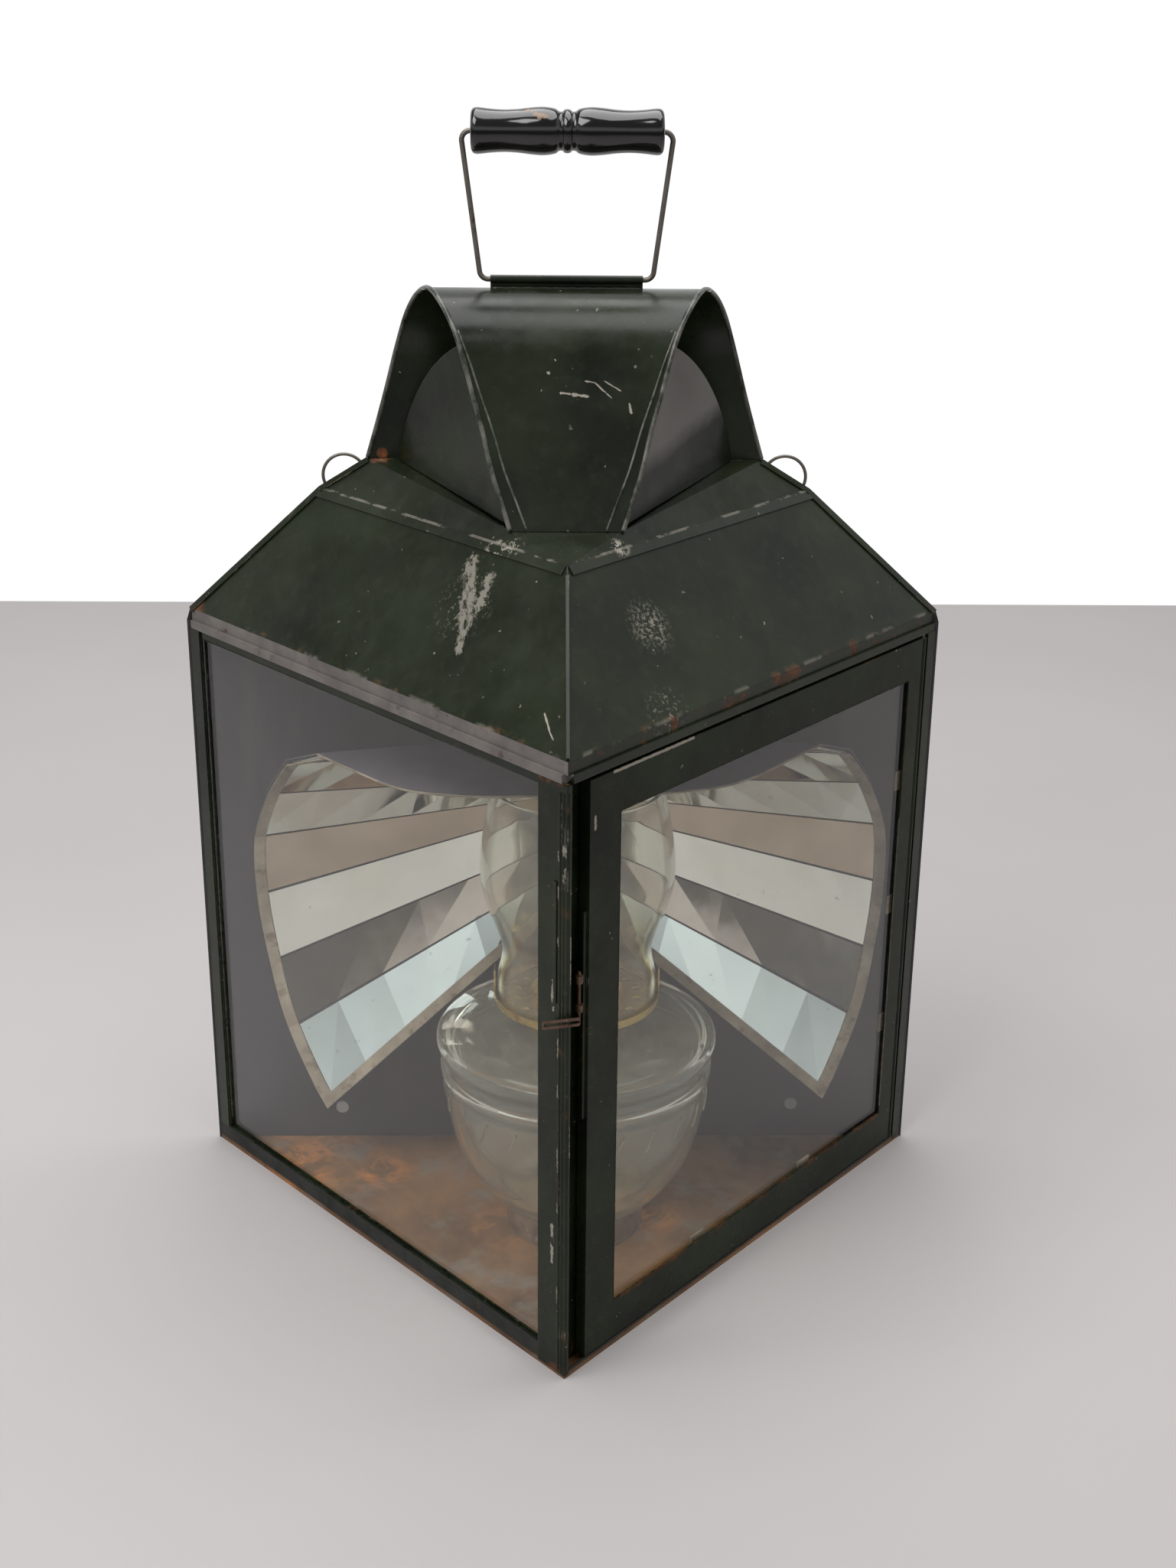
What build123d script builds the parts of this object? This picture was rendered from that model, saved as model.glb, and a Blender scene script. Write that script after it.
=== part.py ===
from build123d import *
from math import asin, atan2, cos, degrees, hypot, pi, radians, sin, sqrt
import os

# Corner lantern used as a navigation light: a triangular sheet-metal case with a flat back, a fixed
# pane on the left front side, a glazed door on the right front side, a hooded vent, a bail handle,
# a faceted mirror reflector and an oil lamp.
# Millimetres, +Z up, -Y towards the front corner. The origin is on the underside of the base, on
# the centre plane, level with the lamp's axis.

# Case plan and heights
HALF_WIDTH = 190.0       # back wall, centre plane to corner
DEPTH = 215.0            # back wall to front corner
BACK_Y = 80.0            # outer face of the back wall
FRONT_Y = BACK_Y - DEPTH
SHEET = 1.0              # tinplate, including its paint
FLOOR = 1.2
WALL_TOP = 301.0
EAVE_Z = 307.0
FOLD_Z = 369.0
CROWN_Z = 384.0
EAVE_SCALE = 0.99        # each roof outline is the plan outline scaled about the back's centre
FOLD_SCALE = 0.637
CROWN_SCALE = 0.509
SIDE_LENGTH = hypot(HALF_WIDTH, DEPTH)

# Panes
POST_LEAF = 18.7         # width of the front post's leaf on the left side
POST_EDGE = 2.8          # width of its narrow edge on the door's side
LEFT_OPENING = (POST_LEAF, 277.0)
LEFT_OPENING_Z = (10.5, 293.0)
DOOR_S = (14.5, 274.2)   # along the right side, from the front corner
DOOR_Z = (4.6, 295.4)
DOOR_DEPTH = 5.6
DOOR_LUG_S = 12.2        # front edge of the lug that carries the latch
DOOR_OPENING = (35.0, 262.5)
DOOR_OPENING_Z = (25.0, 275.5)
GLASS = 2.5
HINGE_S, HINGE_N = 275.6, 1.6
PIN_R = 1.0
RUNNING = 0.05           # radial clearance of a running fit

# Hood and bail
HOOD_R = 38.0
HOOD_CENTRE = (42.0, 434.0)      # y, z of the crest's arc
HOOD_FOOT = (-20.0, 374.0)       # y, z of the front foot
# Half width and height down the hood's front edge and down its rear edge, from the crest
HOOD_FRONT_EDGE = ((63.0, 472.2), (56.0, 467.0), (50.5, 458.0), (46.3, 446.0), (42.1, 431.0), (38.0, 417.0),
                   (33.9, 400.0), (29.4, 386.5), (25.5, 373.0))
HOOD_REAR_EDGE = ((63.0, 472.2), (69.5, 467.0), (75.5, 456.0), (81.0, 439.0), (86.7, 418.0), (91.6, 401.0),
                  (97.0, 383.0))
BAIL_Y, BAIL_Z = 44.0, 476.0
BAIL_WIRE = 1.2
BAIL_LOW_HALF, BAIL_HIGH_HALF = 39.5, 48.0
GRIP_Z = 541.3
GRIP_HALF = 43.3

# Lamp
LAMP_X = 6.5
FONT_R = 69.3
FONT_Z = 18.0            # underside of the font, on top of its seat
SEAT_R = 34.0
CHIMNEY_BASE_Z = 131.25
SHAFT_Z = 126.8
WHEEL_R = 4.4
SHAFT_X = LAMP_X + 1.2 + WHEEL_R + 0.15

# Reflector
REFLECTOR_X = 4.5
REFLECTOR_LEAN = -1.3    # degrees about Y, in its own plane
MIRROR_BAND = 6.0        # width of the folded rim over the mirror ends

os.makedirs("parts", exist_ok=True)


def save(name, shape):
    solids = shape.solids()
    export_step(solids[0] if len(solids) == 1 else Compound(children=list(solids)), f"parts/{name}.step")


def box(x, y, z):
    centre = [(a + b) / 2 for a, b in (x, y, z)]
    return Pos(*centre) * Box(x[1] - x[0], y[1] - y[0], z[1] - z[0])


def side_plane(side):
    run = -HALF_WIDTH if side == "left" else HALF_WIDTH
    return Plane(origin=(0, FRONT_Y, 0), x_dir=Vector(run, DEPTH, 0).normalized(), z_dir=(0, 0, 1))


def on_side(side, s, n, z=0.0):
    """The point at distance s from the front corner along a side and n inside its outer face."""
    sign = -1 if side == "left" else 1
    return side_plane(side).from_local_coords(Vector(s, sign * n, z))


def wall_box(side, s, n, z):
    """A box aligned with a side: s along it, n inwards from its outer face, z up."""
    sign = -1 if side == "left" else 1
    return side_plane(side) * box(s, sorted((sign * n[0], sign * n[1])), z)


def rod(a, b, radius):
    a, b = Vector(*a), Vector(*b)
    return extrude(Plane(origin=a, z_dir=(b - a).normalized()) * Circle(radius), (b - a).length)


def sheet(points, thickness, towards):
    """A flat polygon thickened along its own normal, to the side that faces the given direction."""
    corners = [Vector(*p) for p in points]
    normal = (corners[1] - corners[0]).cross(corners[2] - corners[0]).normalized()
    if normal.dot(Vector(*towards)) < 0:
        normal = normal * -1
    face = Face(Wire.make_polygon(corners, close=True))
    return extrude(face, thickness, dir=normal)


def turned(profile, x=0.0, y=0.0):
    """A closed (radius, z) outline turned about a vertical axis."""
    face = make_face(Polyline(*[(r, 0, z) for r, z in profile], close=True))
    return Pos(x, y, 0) * revolve(face, Axis.Z)


def polyhedron(triangles):
    faces = [Face(Wire.make_polygon([Vector(*p) for p in corners], close=True)) for corners in triangles]
    return Solid(Shell(faces))


def thick_patch(front, back):
    """The closed solid between two grids of points with the same rows and columns."""
    rows, columns = len(front), len(front[0])
    triangles = []

    def quad(a, b, c, d):
        triangles.append((a, b, c))
        triangles.append((a, c, d))

    for i in range(rows - 1):
        for j in range(columns - 1):
            quad(front[i][j], front[i][j + 1], front[i + 1][j + 1], front[i + 1][j])
            quad(back[i][j], back[i + 1][j], back[i + 1][j + 1], back[i][j + 1])
    for i in range(rows - 1):
        for j in (0, columns - 1):
            quad(front[i][j], front[i + 1][j], back[i + 1][j], back[i][j])
    for j in range(columns - 1):
        for i in (0, rows - 1):
            quad(front[i][j], front[i][j + 1], back[i][j + 1], back[i][j])
    return polyhedron(triangles)


LEFT_HALF = box((-400, 0), (-400, 400), (-10, 700))
RIGHT_HALF = box((0, 400), (-400, 400), (-10, 700))
BEFORE_BACK = box((-400, 400), (-400, BACK_Y - SHEET), (-10, 700))


def outline(scale, z):
    """Left corner, front corner and right corner of a roof outline."""
    return ((-HALF_WIDTH * scale, BACK_Y, z), (0, BACK_Y - DEPTH * scale, z), (HALF_WIDTH * scale, BACK_Y, z))


EAVE = outline(EAVE_SCALE, EAVE_Z)
FOLD = outline(FOLD_SCALE, FOLD_Z)
CROWN = outline(CROWN_SCALE, CROWN_Z)


# Case -------------------------------------------------------------------------------------------

def base_pan():
    plate = extrude(make_face(Polyline(*[(x, y) for x, y, _ in outline(1.0, 0)], close=True)), FLOOR)
    left_skirt = wall_box("left", (POST_LEAF, 285.0), (0, SHEET), (0, LEFT_OPENING_Z[0]))
    sill = wall_box("right", (POST_EDGE + 0.2, 278.0), (0, SHEET), (0, 4.0))
    sill -= Pos(*on_side("right", HINGE_S, HINGE_N, 3)) * Cylinder(PIN_R, 4)
    door_stop = wall_box("right", (26.0, 268.0), (7.2, 8.2), (0, 14.0))
    return (plate + left_skirt + sill + door_stop) & box((-200, 200), (-200, BACK_Y - SHEET), (0, 50))


def back_wall():
    half = [(HALF_WIDTH, 0), (HALF_WIDTH, WALL_TOP), (-EAVE[0][0], EAVE_Z), (-FOLD[0][0], FOLD_Z),
            (-CROWN[0][0], CROWN_Z)]
    points = half + [(-x, z) for x, z in reversed(half)]
    face = make_face(Polyline(*[(x, BACK_Y, z) for x, z in points], close=True))
    wall = extrude(face, SHEET, dir=(0, -1, 0))
    for side in (-1, 1):
        for low, high in ((EAVE, FOLD), (FOLD, CROWN)):
            corner = 0 if side < 0 else 2
            wall += roof_lip(low[corner], high[corner], low[1], 4.0, 0.8)
    return wall


def roof_lip(a, b, third, width, thickness):
    """A narrow strip on a roof plane, along the edge a-b and towards a third point of the plane."""
    a, b, third = Vector(*a), Vector(*b), Vector(*third)
    along = (b - a).normalized()
    normal = along.cross(third - a).normalized()
    if normal.Z < 0:
        normal = normal * -1
    across = (third - a) - along * (third - a).dot(along)
    across = across.normalized() * width
    face = Face(Wire.make_polygon([a, b, b + across, a + across], close=True))
    return extrude(face, thickness, dir=normal)


def front_post():
    z = (FLOOR, WALL_TOP - 4.0)
    post = wall_box("left", (0, POST_LEAF), (0, SHEET), z)
    post += wall_box("right", (0, POST_EDGE), (0, SHEET), z)
    post += wall_box("right", (POST_EDGE - SHEET, POST_EDGE), (0, 8.2), z)
    post += wall_box("right", (POST_EDGE - SHEET, 24.0), (7.2, 8.2), z)
    for side, s in (("left", 4.6), ("left", 2.6), ("right", 1.2)):
        foot = on_side(side, s, 0.2, 3.0)
        post += rod(foot, foot + Vector(0, 0, 290.0), 0.8)
    return post


def left_jamb():
    z = (LEFT_OPENING_Z[0], WALL_TOP - 4.0)
    return wall_box("left", (LEFT_OPENING[1], 285.4), (0, SHEET), z) & BEFORE_BACK


def right_jamb():
    z = (FLOOR, WALL_TOP - 4.0)
    jamb = wall_box("right", (278.2, 285.4), (0, SHEET), z) + wall_box("right", (278.2, 279.2), (0, 4.4), z)
    return jamb & BEFORE_BACK


def head_frame():
    """The folded ring that ties the tops of the walls and carries the roof."""
    ring = wall_box("left", (4.0, 284.0), (0.1, 7.0), (WALL_TOP - 4.0, WALL_TOP))
    ring += wall_box("right", (4.0, 284.0), (0.1, 7.0), (WALL_TOP - 4.0, WALL_TOP))
    ring = ring - Pos(*on_side("right", HINGE_S, HINGE_N, WALL_TOP - 2)) * Cylinder(PIN_R, 10)
    return ring & BEFORE_BACK


def left_pane_frame():
    frame = wall_box("left", (9.5, 280.0), (SHEET, 6.0), (FLOOR, WALL_TOP - 4.0))
    opening = wall_box("left", LEFT_OPENING, (0, 8), LEFT_OPENING_Z)
    pocket = wall_box("left", (14.0, 278.8), (2.2, 5.0), (6.0, 296.0))
    return (frame - opening - pocket) & BEFORE_BACK


def left_glass():
    return wall_box("left", (14.3, 278.5), (2.35, 2.35 + GLASS), (6.3, 295.7)) & BEFORE_BACK


def roof_slope(left):
    corner = 0 if left else 2
    inward = (1 if left else -1, 1, -1)
    slope = sheet((EAVE[corner], EAVE[1], FOLD[1], FOLD[corner]), SHEET, inward)
    inset = (1 - EAVE_SCALE) * HALF_WIDTH * DEPTH / SIDE_LENGTH
    side = "left" if left else "right"
    skirt = wall_box(side, (0, SIDE_LENGTH), (inset, inset + SHEET), (WALL_TOP, EAVE_Z))
    half = LEFT_HALF if left else RIGHT_HALF
    return ((slope + skirt) & half & BEFORE_BACK) - crown(left) - crown_apron()


def hip_seam():
    low, high = Vector(*EAVE[1]), Vector(*FOLD[1])
    along = (high - low).normalized()
    out = Vector(0, -along.Z, along.Y)
    half = 0.8
    low, high = low + along * 1.0, high - along * 6.0
    face = Face(Wire.make_polygon([low + Vector(-half, 0, 0), low + Vector(half, 0, 0),
                                   high + Vector(half, 0, 0), high + Vector(-half, 0, 0)], close=True))
    return extrude(face, 1.6, dir=out)


# Crown: the shallower upper slopes, with a ledge and a flat front apron that carry the hood
FOOT_HALF = 24.0
LEDGE_HALF = 82.0


def crown_foot(sign):
    """The corner of the hood's foot, on the crown's slope."""
    z = HOOD_FOOT[1]
    part = (z - FOLD_Z) / (CROWN_Z - FOLD_Z)
    scale = FOLD_SCALE + (CROWN_SCALE - FOLD_SCALE) * part
    return (sign * FOOT_HALF, BACK_Y - DEPTH * scale + FOOT_HALF * DEPTH / HALF_WIDTH, z)


def crown(left):
    sign, corner = (-1, 0) if left else (1, 2)
    foot = crown_foot(sign)
    slope = sheet((FOLD[corner], FOLD[1], foot, CROWN[corner]), SHEET, (-sign, 1, -1))
    ledge = sheet((CROWN[corner], (sign * LEDGE_HALF, BACK_Y, CROWN_Z), foot), SHEET, (0, 0, -1))
    lip = roof_lip(FOLD[corner], FOLD[1], EAVE[corner], 5.0, 0.8)
    half = LEFT_HALF if left else RIGHT_HALF
    return ((slope + ledge + lip) & half & BEFORE_BACK) - crown_apron() - back_wall()


def crown_apron():
    return sheet((crown_foot(-1), crown_foot(1), FOLD[1]), SHEET, (0, 0, -1))


# Hood -------------------------------------------------------------------------------------------

def hood_tangent():
    """Angle of the hood's straight front, and the point where it meets the crest's arc."""
    dy, dz = HOOD_CENTRE[0] - HOOD_FOOT[0], HOOD_CENTRE[1] - HOOD_FOOT[1]
    reach = hypot(dy, dz)
    angle = atan2(dz, dy) + asin(HOOD_R / reach)
    run = sqrt(reach ** 2 - HOOD_R ** 2)
    return angle, (HOOD_FOOT[0] + run * cos(angle), HOOD_FOOT[1] + run * sin(angle))


def hood_region(inset, floor_z):
    """The side view of the space under the hood, moved inwards by inset and closed at floor_z."""
    angle, touch = hood_tangent()
    cy, cz = HOOD_CENTRE
    radius = HOOD_R - inset
    shrink = radius / HOOD_R
    touch = (cy + (touch[0] - cy) * shrink, cz + (touch[1] - cz) * shrink)
    foot_z = floor_z
    foot_y = touch[0] - (touch[1] - foot_z) * cos(angle) / sin(angle)
    rear = cy + radius
    middle = radians((degrees(angle) + 90) / 2)
    top = (cy + radius * cos(middle), cz + radius * sin(middle))
    line = Polyline((0, foot_y, foot_z), (0, *touch))
    arc = ThreePointArc((0, *touch), (0, *top), (0, rear, cz))
    rest = Polyline((0, rear, cz), (0, rear, foot_z), (0, foot_y, foot_z))
    return make_face([*line.edges(), *arc.edges(), *rest.edges()])


def hood_width(edge, near, far):
    """The space between the hood's two edges, seen from the front, over a range of depth."""
    steps = 22
    start = Vector(edge[1][0] - edge[0][0], 0, 0)
    end = Vector(edge[-1][0] - edge[-2][0], 0, edge[-1][1] - edge[-2][1])
    curve = Spline(*[(x, near, z) for x, z in edge], tangents=[start.normalized(), end.normalized()])
    right = [curve @ (k / steps) for k in range(steps + 1)]
    above = Vector(0, 0, 8)
    left = [Vector(-p.X, p.Y, p.Z) for p in right]
    face = make_face(Polyline(*right, *reversed(left), left[0] + above, right[0] + above, close=True))
    return extrude(face, far - near, dir=(0, 1, 0))


def hood():
    shell = extrude(hood_region(0.0, HOOD_FOOT[1]), 120, both=True, dir=(1, 0, 0))
    shell -= extrude(hood_region(SHEET, HOOD_FOOT[1] - 5), 130, both=True, dir=(1, 0, 0))
    shell -= box((-130, 130), (30, 90), (HOOD_FOOT[1] - 1, CROWN_Z))
    front = hood_width(HOOD_FRONT_EDGE, -60.0, HOOD_CENTRE[0])
    rear = hood_width(HOOD_REAR_EDGE, HOOD_CENTRE[0], 90.0)
    return shell & (front + rear)


def baffle(left):
    """A round-topped plate inside each open end of the hood, along the throat's side."""
    sign = -1 if left else 1
    rear = Vector(sign * LEDGE_HALF, BACK_Y - SHEET - 0.2, 0)
    front = Vector(sign * FOOT_HALF, HOOD_FOOT[0] + 2.0, 0)
    plane = Plane(origin=rear, x_dir=(front - rear).normalized(), z_dir=(front - rear).cross(Vector(0, 0, 1)))
    up = plane.y_dir.Z
    base = [(2.0, CROWN_Z), (2.0, CROWN_Z + 4.0)]
    arc = ThreePointArc((2.0, up * (CROWN_Z + 4.0)), (29.0, up * 427.0), (72.0, up * 452.0))
    end = (front - rear).length
    rest = Polyline((72.0, up * 452.0), (end, up * 452.0), (end, up * (HOOD_FOOT[1] + 1.5)),
                    (base[0][0], up * base[0][1]), (base[1][0], up * base[1][1]))
    face = plane * make_face([*arc.edges(), *rest.edges()])
    inside = extrude(hood_region(SHEET + 0.2, HOOD_FOOT[1] - 5), 120, both=True, dir=(1, 0, 0))
    return extrude(face, 0.4, both=True) & inside


# Handle -----------------------------------------------------------------------------------------

def handle_tube():
    half = 35.0
    tube = rod((-half, BAIL_Y, BAIL_Z), (half, BAIL_Y, BAIL_Z), 1.9)
    web = box((-half, half), (BAIL_Y - 0.8, BAIL_Y + 0.8), (HOOD_CENTRE[1] + HOOD_R - 0.2, BAIL_Z - 1.4))
    bore = rod((-half - 1, BAIL_Y, BAIL_Z), (half + 1, BAIL_Y, BAIL_Z), BAIL_WIRE + RUNNING)
    return tube + web - bore - hood()


def bail_wire():
    """A closed trapezium of wire whose ends butt inside the tube."""
    gap = 0.3
    points = [(gap, BAIL_Y, BAIL_Z), (BAIL_LOW_HALF, BAIL_Y, BAIL_Z), (BAIL_HIGH_HALF, BAIL_Y, GRIP_Z),
              (-BAIL_HIGH_HALF, BAIL_Y, GRIP_Z), (-BAIL_LOW_HALF, BAIL_Y, BAIL_Z), (-gap, BAIL_Y, BAIL_Z)]
    path = FilletPolyline(*points, radius=4.0)
    return sweep(Plane(origin=points[0], z_dir=(1, 0, 0)) * Circle(BAIL_WIRE), path)


def grip():
    """A turned grip: flared ends, two swells, and a bead between two grooves."""
    half = [(0.0, 9.6), (1.4, 9.3), (2.4, 8.5), (3.6, 8.6), (5.6, 9.8), (10.5, 10.5), (16.0, 10.2),
            (22.0, 9.5), (28.0, 9.2), (34.0, 9.5), (39.5, 10.1), (41.6, 10.0), (42.8, 9.2), (GRIP_HALF, 8.0)]
    outer = [(-x, r) for x, r in reversed(half)] + half[1:]
    curve = Spline(*[(x, BAIL_Y, GRIP_Z + r) for x, r in outer])
    bore = GRIP_Z + BAIL_WIRE + RUNNING
    rest = Polyline((GRIP_HALF, BAIL_Y, GRIP_Z + 8.0), (GRIP_HALF, BAIL_Y, bore),
                    (-GRIP_HALF, BAIL_Y, bore), (-GRIP_HALF, BAIL_Y, GRIP_Z + 8.0))
    face = make_face([*curve.edges(), *rest.edges()])
    return revolve(face, Axis((0, BAIL_Y, GRIP_Z), (1, 0, 0)))


LOOP_X, LOOP_Z, LOOP_R, LOOP_WIRE = 108.5, 375.0, 10.5, 0.8
LOOP_Y = BACK_Y + 1.2


def hanging_loop(sign):
    ring = Pos(sign * LOOP_X, LOOP_Y, LOOP_Z) * Rot(90, 0, 0) * Torus(LOOP_R, LOOP_WIRE)
    return ring


def loop_clips():
    clips = None
    for sign in (-1, 1):
        x, z = sign * LOOP_X, LOOP_Z - LOOP_R
        clip = box((x - 4, x + 4), (BACK_Y, LOOP_Y + 1.4), (z - 2.6, z + 2.6))
        clip -= Pos(sign * LOOP_X, LOOP_Y, LOOP_Z) * Rot(90, 0, 0) * Torus(LOOP_R, LOOP_WIRE + 0.05)
        clips = clip if clips is None else clips + clip
    return clips


# Door -------------------------------------------------------------------------------------------

def door_frame():
    frame = wall_box("right", (DOOR_S[0], DOOR_S[1] - 0.8), (0, DOOR_DEPTH), DOOR_Z)
    frame -= wall_box("right", DOOR_OPENING, (-1, 9), DOOR_OPENING_Z)
    frame -= wall_box("right", (DOOR_OPENING[0] - 5, DOOR_OPENING[1] + 5), (1.2, 9),
                      (DOOR_OPENING_Z[0] - 5, DOOR_OPENING_Z[1] + 5))
    lug = wall_box("right", (DOOR_LUG_S, DOOR_S[0]), (1.0, 2.0), (133.0, 235.0))
    foot = on_side("right", HINGE_S, HINGE_N, DOOR_Z[0])
    edge_tube = rod(foot, foot + Vector(0, 0, DOOR_Z[1] - DOOR_Z[0]), 1.9)
    frame = frame + lug + edge_tube
    return frame - rod(foot - Vector(0, 0, 5), foot + Vector(0, 0, 300), PIN_R + RUNNING)


def hinge_pin():
    foot = on_side("right", HINGE_S, HINGE_N, FLOOR)
    return rod(foot, foot + Vector(0, 0, WALL_TOP - 1 - FLOOR), PIN_R)


def door_glass():
    edge = 4.5
    return wall_box("right", (DOOR_OPENING[0] - edge, DOOR_OPENING[1] + edge), (1.3, 1.3 + GLASS),
                    (DOOR_OPENING_Z[0] - edge, DOOR_OPENING_Z[1] + edge))


def glass_tabs():
    """Bent tin tabs that hold the door's glass from behind."""
    tabs = None
    n = (3.9, 4.7)
    low, high = DOOR_OPENING_Z
    near, far = DOOR_OPENING
    spots = []
    for part in (0.22, 0.5, 0.78):
        z = low + (high - low) * part
        spots += [((near - 5, near + 2), (z - 5, z + 5)), ((far - 2, far + 5), (z - 5, z + 5))]
    for part in (0.3, 0.7):
        s = near + (far - near) * part
        spots += [((s - 5, s + 5), (low - 5, low + 2)), ((s - 5, s + 5), (high - 2, high + 5))]
    for s, z in spots:
        tab = wall_box("right", s, n, z)
        tabs = tab if tabs is None else tabs + tab
    return tabs


# Latch: a wire hairpin that turns beside the door's edge and reaches round the front post
LATCH_S, LATCH_N, LATCH_WIRE = 10.0, 1.5, 0.75
LATCH_GAP = 1.3          # half the distance between its two wires
LATCH_STOPS = ((LATCH_S, LATCH_N, 183.4), (4.6, -2.8, 186.8), (-2.6, -2.6, 188.9), (-2.6, 10.8, 182.9))


def latch_hook():
    pivot = on_side("right", LATCH_S, LATCH_N)
    foot = LATCH_STOPS[0][2] - LATCH_GAP
    hook = rod(pivot + Vector(0, 0, foot), pivot + Vector(0, 0, 207.5), LATCH_WIRE)
    for level in (-LATCH_GAP, LATCH_GAP):
        stops = [on_side("right", s, n, z + level) for s, n, z in LATCH_STOPS]
        for a, b in zip(stops, stops[1:]):
            hook += rod(a, b, LATCH_WIRE)
        for stop in stops:
            hook += Pos(*stop) * Sphere(LATCH_WIRE)
    s, n, z = LATCH_STOPS[-1]
    return hook + rod(on_side("right", s, n, z - LATCH_GAP), on_side("right", s, n, z + LATCH_GAP), LATCH_WIRE)


def latch_eye():
    pivot = on_side("right", LATCH_S, LATCH_N)
    eye = None
    for z in ((188.0, 191.5), (202.0, 205.5)):
        ring = rod(pivot + Vector(0, 0, z[0]), pivot + Vector(0, 0, z[1]), 1.6)
        ring += wall_box("right", (LATCH_S, DOOR_LUG_S), (1.0, 2.0), z)
        piece = ring - rod(pivot, pivot + Vector(0, 0, 300), LATCH_WIRE + RUNNING)
        eye = piece if eye is None else eye + piece
    return eye


def latch_keeper():
    """The worn strip on the post's leaf that the hairpin springs over."""
    return wall_box("left", (6.4, 8.4), (-0.5, 0.0), (194.0, 252.0))


# Reflector: two wings of flat mirror strips on a tin shell that curls forward below and above.
# Each row goes from the outer rim (half width, depth behind the front edge's line, height) to the seam.
RIM = ((129.5, 34.2, 48.0), (150.0, 57.4, 84.0), (159.0, 67.6, 119.0), (164.0, 73.2, 156.0),
       (163.0, 72.1, 190.0), (153.0, 60.8, 219.0), (140.5, 46.7, 241.0), (122.0, 25.7, 252.0))
SEAM = ((0, 72.0, 152.0), (0, 72.0, 170.0), (0, 72.0, 186.0), (0, 72.0, 204.0),
        (0, 72.0, 211.0), (0, 72.0, 221.0), (0, 66.0, 240.0), (0, 18.0, 263.0))
VISOR = ((118.0, 21.0, 252.0), (103.0, 4.0, 252.0), (88.0, -13.0, 252.0), (73.0, -27.0, 253.0),
         (57.0, -37.0, 255.0), (38.0, -43.0, 256.0), (0, -46.0, 257.0))
COLUMNS = 7
SMOOTHING = (0.0, 0.25, 0.5, 0.75)     # rows added between two folds to round the outline
REFLECTOR_SHEET = 0.8


def mix(a, b, t):
    return tuple(p + (q - p) * t for p, q in zip(a, b))


def smooth_rows():
    """Rim and seam points with rows between the folds, their rims moved out to a smooth outline."""
    rows = []
    for i in range(len(RIM) - 1):
        before, after = RIM[max(i - 1, 0)], RIM[min(i + 2, len(RIM) - 1)]
        for t in SMOOTHING:
            rim, seam = mix(RIM[i], RIM[i + 1], t), mix(SEAM[i], SEAM[i + 1], t)
            out = (Vector(*rim) - Vector(*seam)).normalized()
            pull = (Vector(*RIM[i + 1]) - Vector(*before)) * (t * (1 - t) ** 2) \
                - (Vector(*after) - Vector(*RIM[i])) * (t ** 2 * (1 - t))
            chord = (Vector(*RIM[i + 1]) - Vector(*RIM[i])) * (t * (1 - t) * (1 - 2 * t))
            bulge = max(0.0, (pull / 2 - chord).dot(out))
            rim = Vector(*rim) + out * bulge
            rows.append(((rim.X, rim.Y, rim.Z), seam))
    return rows + [(RIM[-1], SEAM[-1])]


def wing_grid(pairs, starts=None, ends=None):
    """Rows of points across a wing, from the rim to the seam, with optional margins in millimetres."""
    rows = []
    for rim, seam in pairs:
        length = (Vector(*seam) - Vector(*rim)).length
        a = 0.0 if starts is None else starts / length
        b = 1.0 if ends is None else ends / length if starts is None else 1.0 - ends / length
        rows.append([mix(rim, seam, a + (b - a) * j / (COLUMNS - 1)) for j in range(COLUMNS)])
    return rows


def normals(grid):
    """Unit normals at the grid's points, on the reflecting side."""
    result = []
    for i, row in enumerate(grid):
        line = []
        for j in range(len(row)):
            below, above = grid[max(i - 1, 0)][j], grid[min(i + 1, len(grid) - 1)][j]
            out, into = row[max(j - 1, 0)], row[min(j + 1, len(row) - 1)]
            rise = Vector(*above) - Vector(*below)
            run = Vector(*into) - Vector(*out)
            line.append(rise.cross(run).normalized())
        result.append(line)
    return result


def shifted(grid, directions, distance):
    """The grid moved along its normals, with points on the centre plane kept on it."""
    moved = []
    for row, line in zip(grid, directions):
        moved.append([])
        for point, normal in zip(row, line):
            x, y, z = (p + distance * n for p, n in zip(point, (normal.X, normal.Y, normal.Z)))
            moved[-1].append((0.0 if abs(point[0]) < 1e-6 else x, y, z))
    return moved


def placed(shape, left):
    """A right wing's piece, mirrored for the left wing, at the reflector's place."""
    if left:
        shape = mirror(shape, Plane.YZ)
    return Pos(REFLECTOR_X, 0, 150) * Rot(0, REFLECTOR_LEAN, 0) * Pos(0, 0, -150) * shape


def reflector_shell(left):
    grid = wing_grid(smooth_rows()) + [list(VISOR)]
    directions = normals(grid)
    back = shifted(grid, directions, -REFLECTOR_SHEET)
    return placed(thick_patch(grid, back), left)


def mirror_strips(left):
    strips = []
    whole = wing_grid(zip(RIM, SEAM), starts=MIRROR_BAND - 4.0, ends=1.0)
    directions = normals(whole)
    joint = 0.02
    for i in range(len(whole) - 1):
        low, high = whole[i], whole[i + 1]
        rows = [[mix(a, b, joint) for a, b in zip(low, high)], [mix(a, b, 1 - joint) for a, b in zip(low, high)]]
        lines = [directions[i], directions[i + 1]]
        front = shifted(rows, lines, 1.7)
        back = shifted(rows, lines, 0.5)
        strips.append(placed(thick_patch(front, back), left))
    return Compound(children=[s for strip in strips for s in strip.solids()])


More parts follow.
